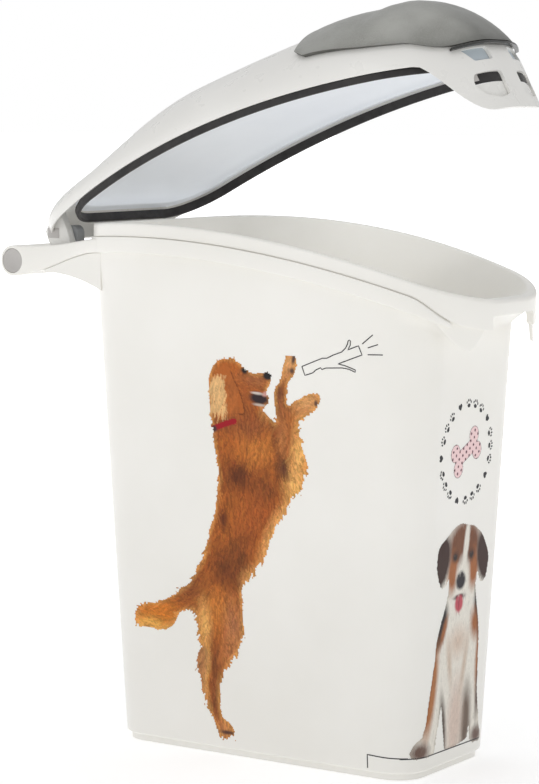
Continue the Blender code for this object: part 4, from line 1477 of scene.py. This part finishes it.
def stage():
    shape = bmesh.new()
    bmesh.ops.create_grid(shape, x_segments=8, y_segments=8, size=40.0)
    floor = from_bmesh("floor", shape)
    m = Nodes("floor_white")
    away = m.node("ShaderNodeVectorMath", operation="LENGTH")
    m.link(m.place, away.inputs[0])
    m.set(Base_Color=(0.93, 0.93, 0.93), Roughness=0.8, Emission_Color=(1.0, 1.0, 1.0))
    m.set(Emission_Strength=m.spread(away.outputs["Value"], 0.32, 1.0, 0.35, 3.0))
    floor.data.materials.append(m.material)
    studio_world()
    area_light("overhead", (0.2, 0.0, 3.0), (0, 0, 0), (3.0, 3.0), 11.0)
    area_light("key", (-2.2, -0.4, 1.0), (0, 0, 0.42), (1.2, 0.8), 1.6, (1.0, 0.985, 0.96))
    hidden = [
        area_light("mouth_fill", (0.0, -0.02, 0.475), (0.01, 0.02, 0.2), (0.08, 0.18), 0.055),
        area_light("panel_fill", (0.0, -0.04, 0.37), (0, 0.05, 0.56), (0.10, 0.16), 0.045, (0.97, 0.98, 1.0)),
    ]
    for fill in hidden:
        fill.visible_camera = False
        fill.visible_glossy = False
    area_light("front_fill", (-0.6, -2.3, 0.5), (0, 0, 0.35), (1.4, 0.9), 0.8, (0.94, 0.97, 1.0))
    bpy.context.scene.view_settings.view_transform = "Standard"


def camera():
    data = bpy.data.cameras.new("view")
    data.lens = 122.3
    data.sensor_width = 36.0
    data.shift_x = 0.022
    data.shift_y = 0.071
    made = new_object("view", data)
    made.location = (-1.851, -1.201, 0.536)
    made.rotation_euler = Vector((0.8216, 0.5557, -0.1271)).to_track_quat("-Z", "Y").to_euler()
    bpy.context.scene.camera = made


def keep_nodes(frame, surfaces):
    """The CAD nodes that stay get their materials."""
    for names, surface in surfaces:
        for name in names:
            node = frame["nodes"][name]
            node.data.materials.clear()
            node.data.materials.append(surface)


def print_on(tub_piece):
    tree = tree_of(tub_piece)
    side = side_spot(tree, -1)
    front = front_spot(tree)
    ink_surface = ink("printed_ink")
    coarse = 1.0
    pieces = [
        film("print_jumping_dog", (-76, 12), (120, 340), 0.8 * coarse, jumping_dog, side),
        film("print_sitting_dog", (-64, 14), (48, 206), 0.7 * coarse, sitting_dog, front),
        film("print_ring", (-54, 214), (42, 310), 0.5 * coarse, badge_ring, front),
        film("print_bone", (-36, 238), (24, 286), 0.5 * coarse, bone, front),
        ribbon("print_twig", [dense(TWIG), *[dense(mark) for mark in MARKS]], 0.8, side),
        ribbon("print_corner_mark", [dense([(-107, 9), (-107, 20), (-139, 18.8)])], 0.9, side),
        ribbon("print_floor_line", [dense([(-68, 18.5), (44, 17)])], 0.9, front),
    ]
    for piece in pieces:
        place(piece, ink_surface, "bin", "tub_white", sharp=80)


def main():
    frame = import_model()
    camera()
    stage()

    # The tub, lid and lining below get painted light: an emission standing in for light carried through their
    # thin walls.
    tub_tones = ((0.75, 0.735, 0.69), (0.79, 0.775, 0.735))
    tub_white = moulded("tub_polypropylene", *tub_tones, (0.30, 0.42), wax=0.10, painted_glow=0.10)
    lid_tones = ((0.70, 0.69, 0.66), (0.74, 0.73, 0.70))
    lid_white = moulded("lid_polypropylene", *lid_tones, (0.27, 0.29), 0.00001, painted_glow=0.07)
    panel = moulded("lining_polypropylene", (0.76, 0.79, 0.84), (0.80, 0.83, 0.87), (0.34, 0.46), painted_glow=0.05)
    grey = moulded("hinge_plastic", (0.30, 0.31, 0.32), (0.36, 0.37, 0.38), (0.40, 0.5))
    lilac = moulded("plug_plastic", (0.44, 0.42, 0.40), (0.50, 0.48, 0.46), (0.40, 0.5))
    blue = moulded("trigger_plastic", (0.45, 0.51, 0.55), (0.50, 0.56, 0.60), (0.35, 0.45))
    seal = rubber("seal_elastomer", (0.012, 0.011, 0.011), (0.024, 0.021, 0.020))
    soft = soft_touch("grip_elastomer")
    dark = moulded("edge_plastic", (0.030, 0.030, 0.028), (0.045, 0.045, 0.042), (0.20, 0.30))
    steel = drawn_wire("hinge_steel")

    tub_piece = place(tub(), tub_white, "bin", "tub_white", "tub")
    place(collar(), tub_white, "bin", "tub_white", "rim_collar")
    place(handle_bar(), tub_white, "bin", "tub_white", "handle_bar")
    for side, word in ((-1, "left"), (1, "right")):
        place(handle_plug(side), lilac, "bin", "plug_grey", "handle_plug_" + word)
        place(hinge_block(side), grey, "bin", "hinge_grey", "hinge_block_" + word)
    place(lid_shell(), lid_white, "lid", "lid_white", "lid_shell")
    place(lid_panel(), panel, "lid", "panel_blue_grey", "lid_inner_panel")
    place(lid_seal(), seal, "lid", "seal_black", "lid_seal")
    place(grip(), soft, "lid", "grip_grey", "grip_cover")
    place(grip_plate(), dark, "lid", "base_plate_dark", "grip_base_plate")
    place(trigger(), blue, "trigger", "trigger_blue_grey", "release_trigger")
    beak_pieces = [
        ("finger_rest_", (0.014, 0.046), (0.3790, 0.3935), 0.0029, 0.0008, blue, "trigger_blue_grey"),
        ("latch_strip_", (0.0105, 0.0465), (0.3622, 0.3712), 0.0029, 0.0009, seal, "seal_black"),
        ("latch_back_", (0.0105, 0.0465), (0.3455, 0.3618), 0.0029, 0.0009, lid_white, "lid_white"),
        ("latch_tab_", (0.0385, 0.0455), (0.3645, 0.3702), 0.0022, 0.0006, lilac, "plug_grey"),
    ]
    for side, word in ((-1, "left"), (1, "right")):
        for stem, x_range, z_range, inset, thickness, surface, slot_name in beak_pieces:
            piece = beak_lining(stem + word, x_range, z_range, inset, thickness)
            if side < 0:
                piece.data.transform(Matrix.Scale(-1, 4, (1, 0, 0)))
                piece.data.flip_normals()
            place(piece, surface, "lid", slot_name)
        # Painted shade: a grey sheet on each hinge lug standing for the shade of a recess.
        place(lug_shade_patch(side), lilac, "lid", "plug_grey")
    keep_nodes(frame, [
        (("hinge_pin_left", "hinge_pin_right", "trigger_pin", "trigger_spring"), steel),
        (("friction_washer_left", "friction_washer_right"), seal),
    ])
    print_on(tub_piece)


main()
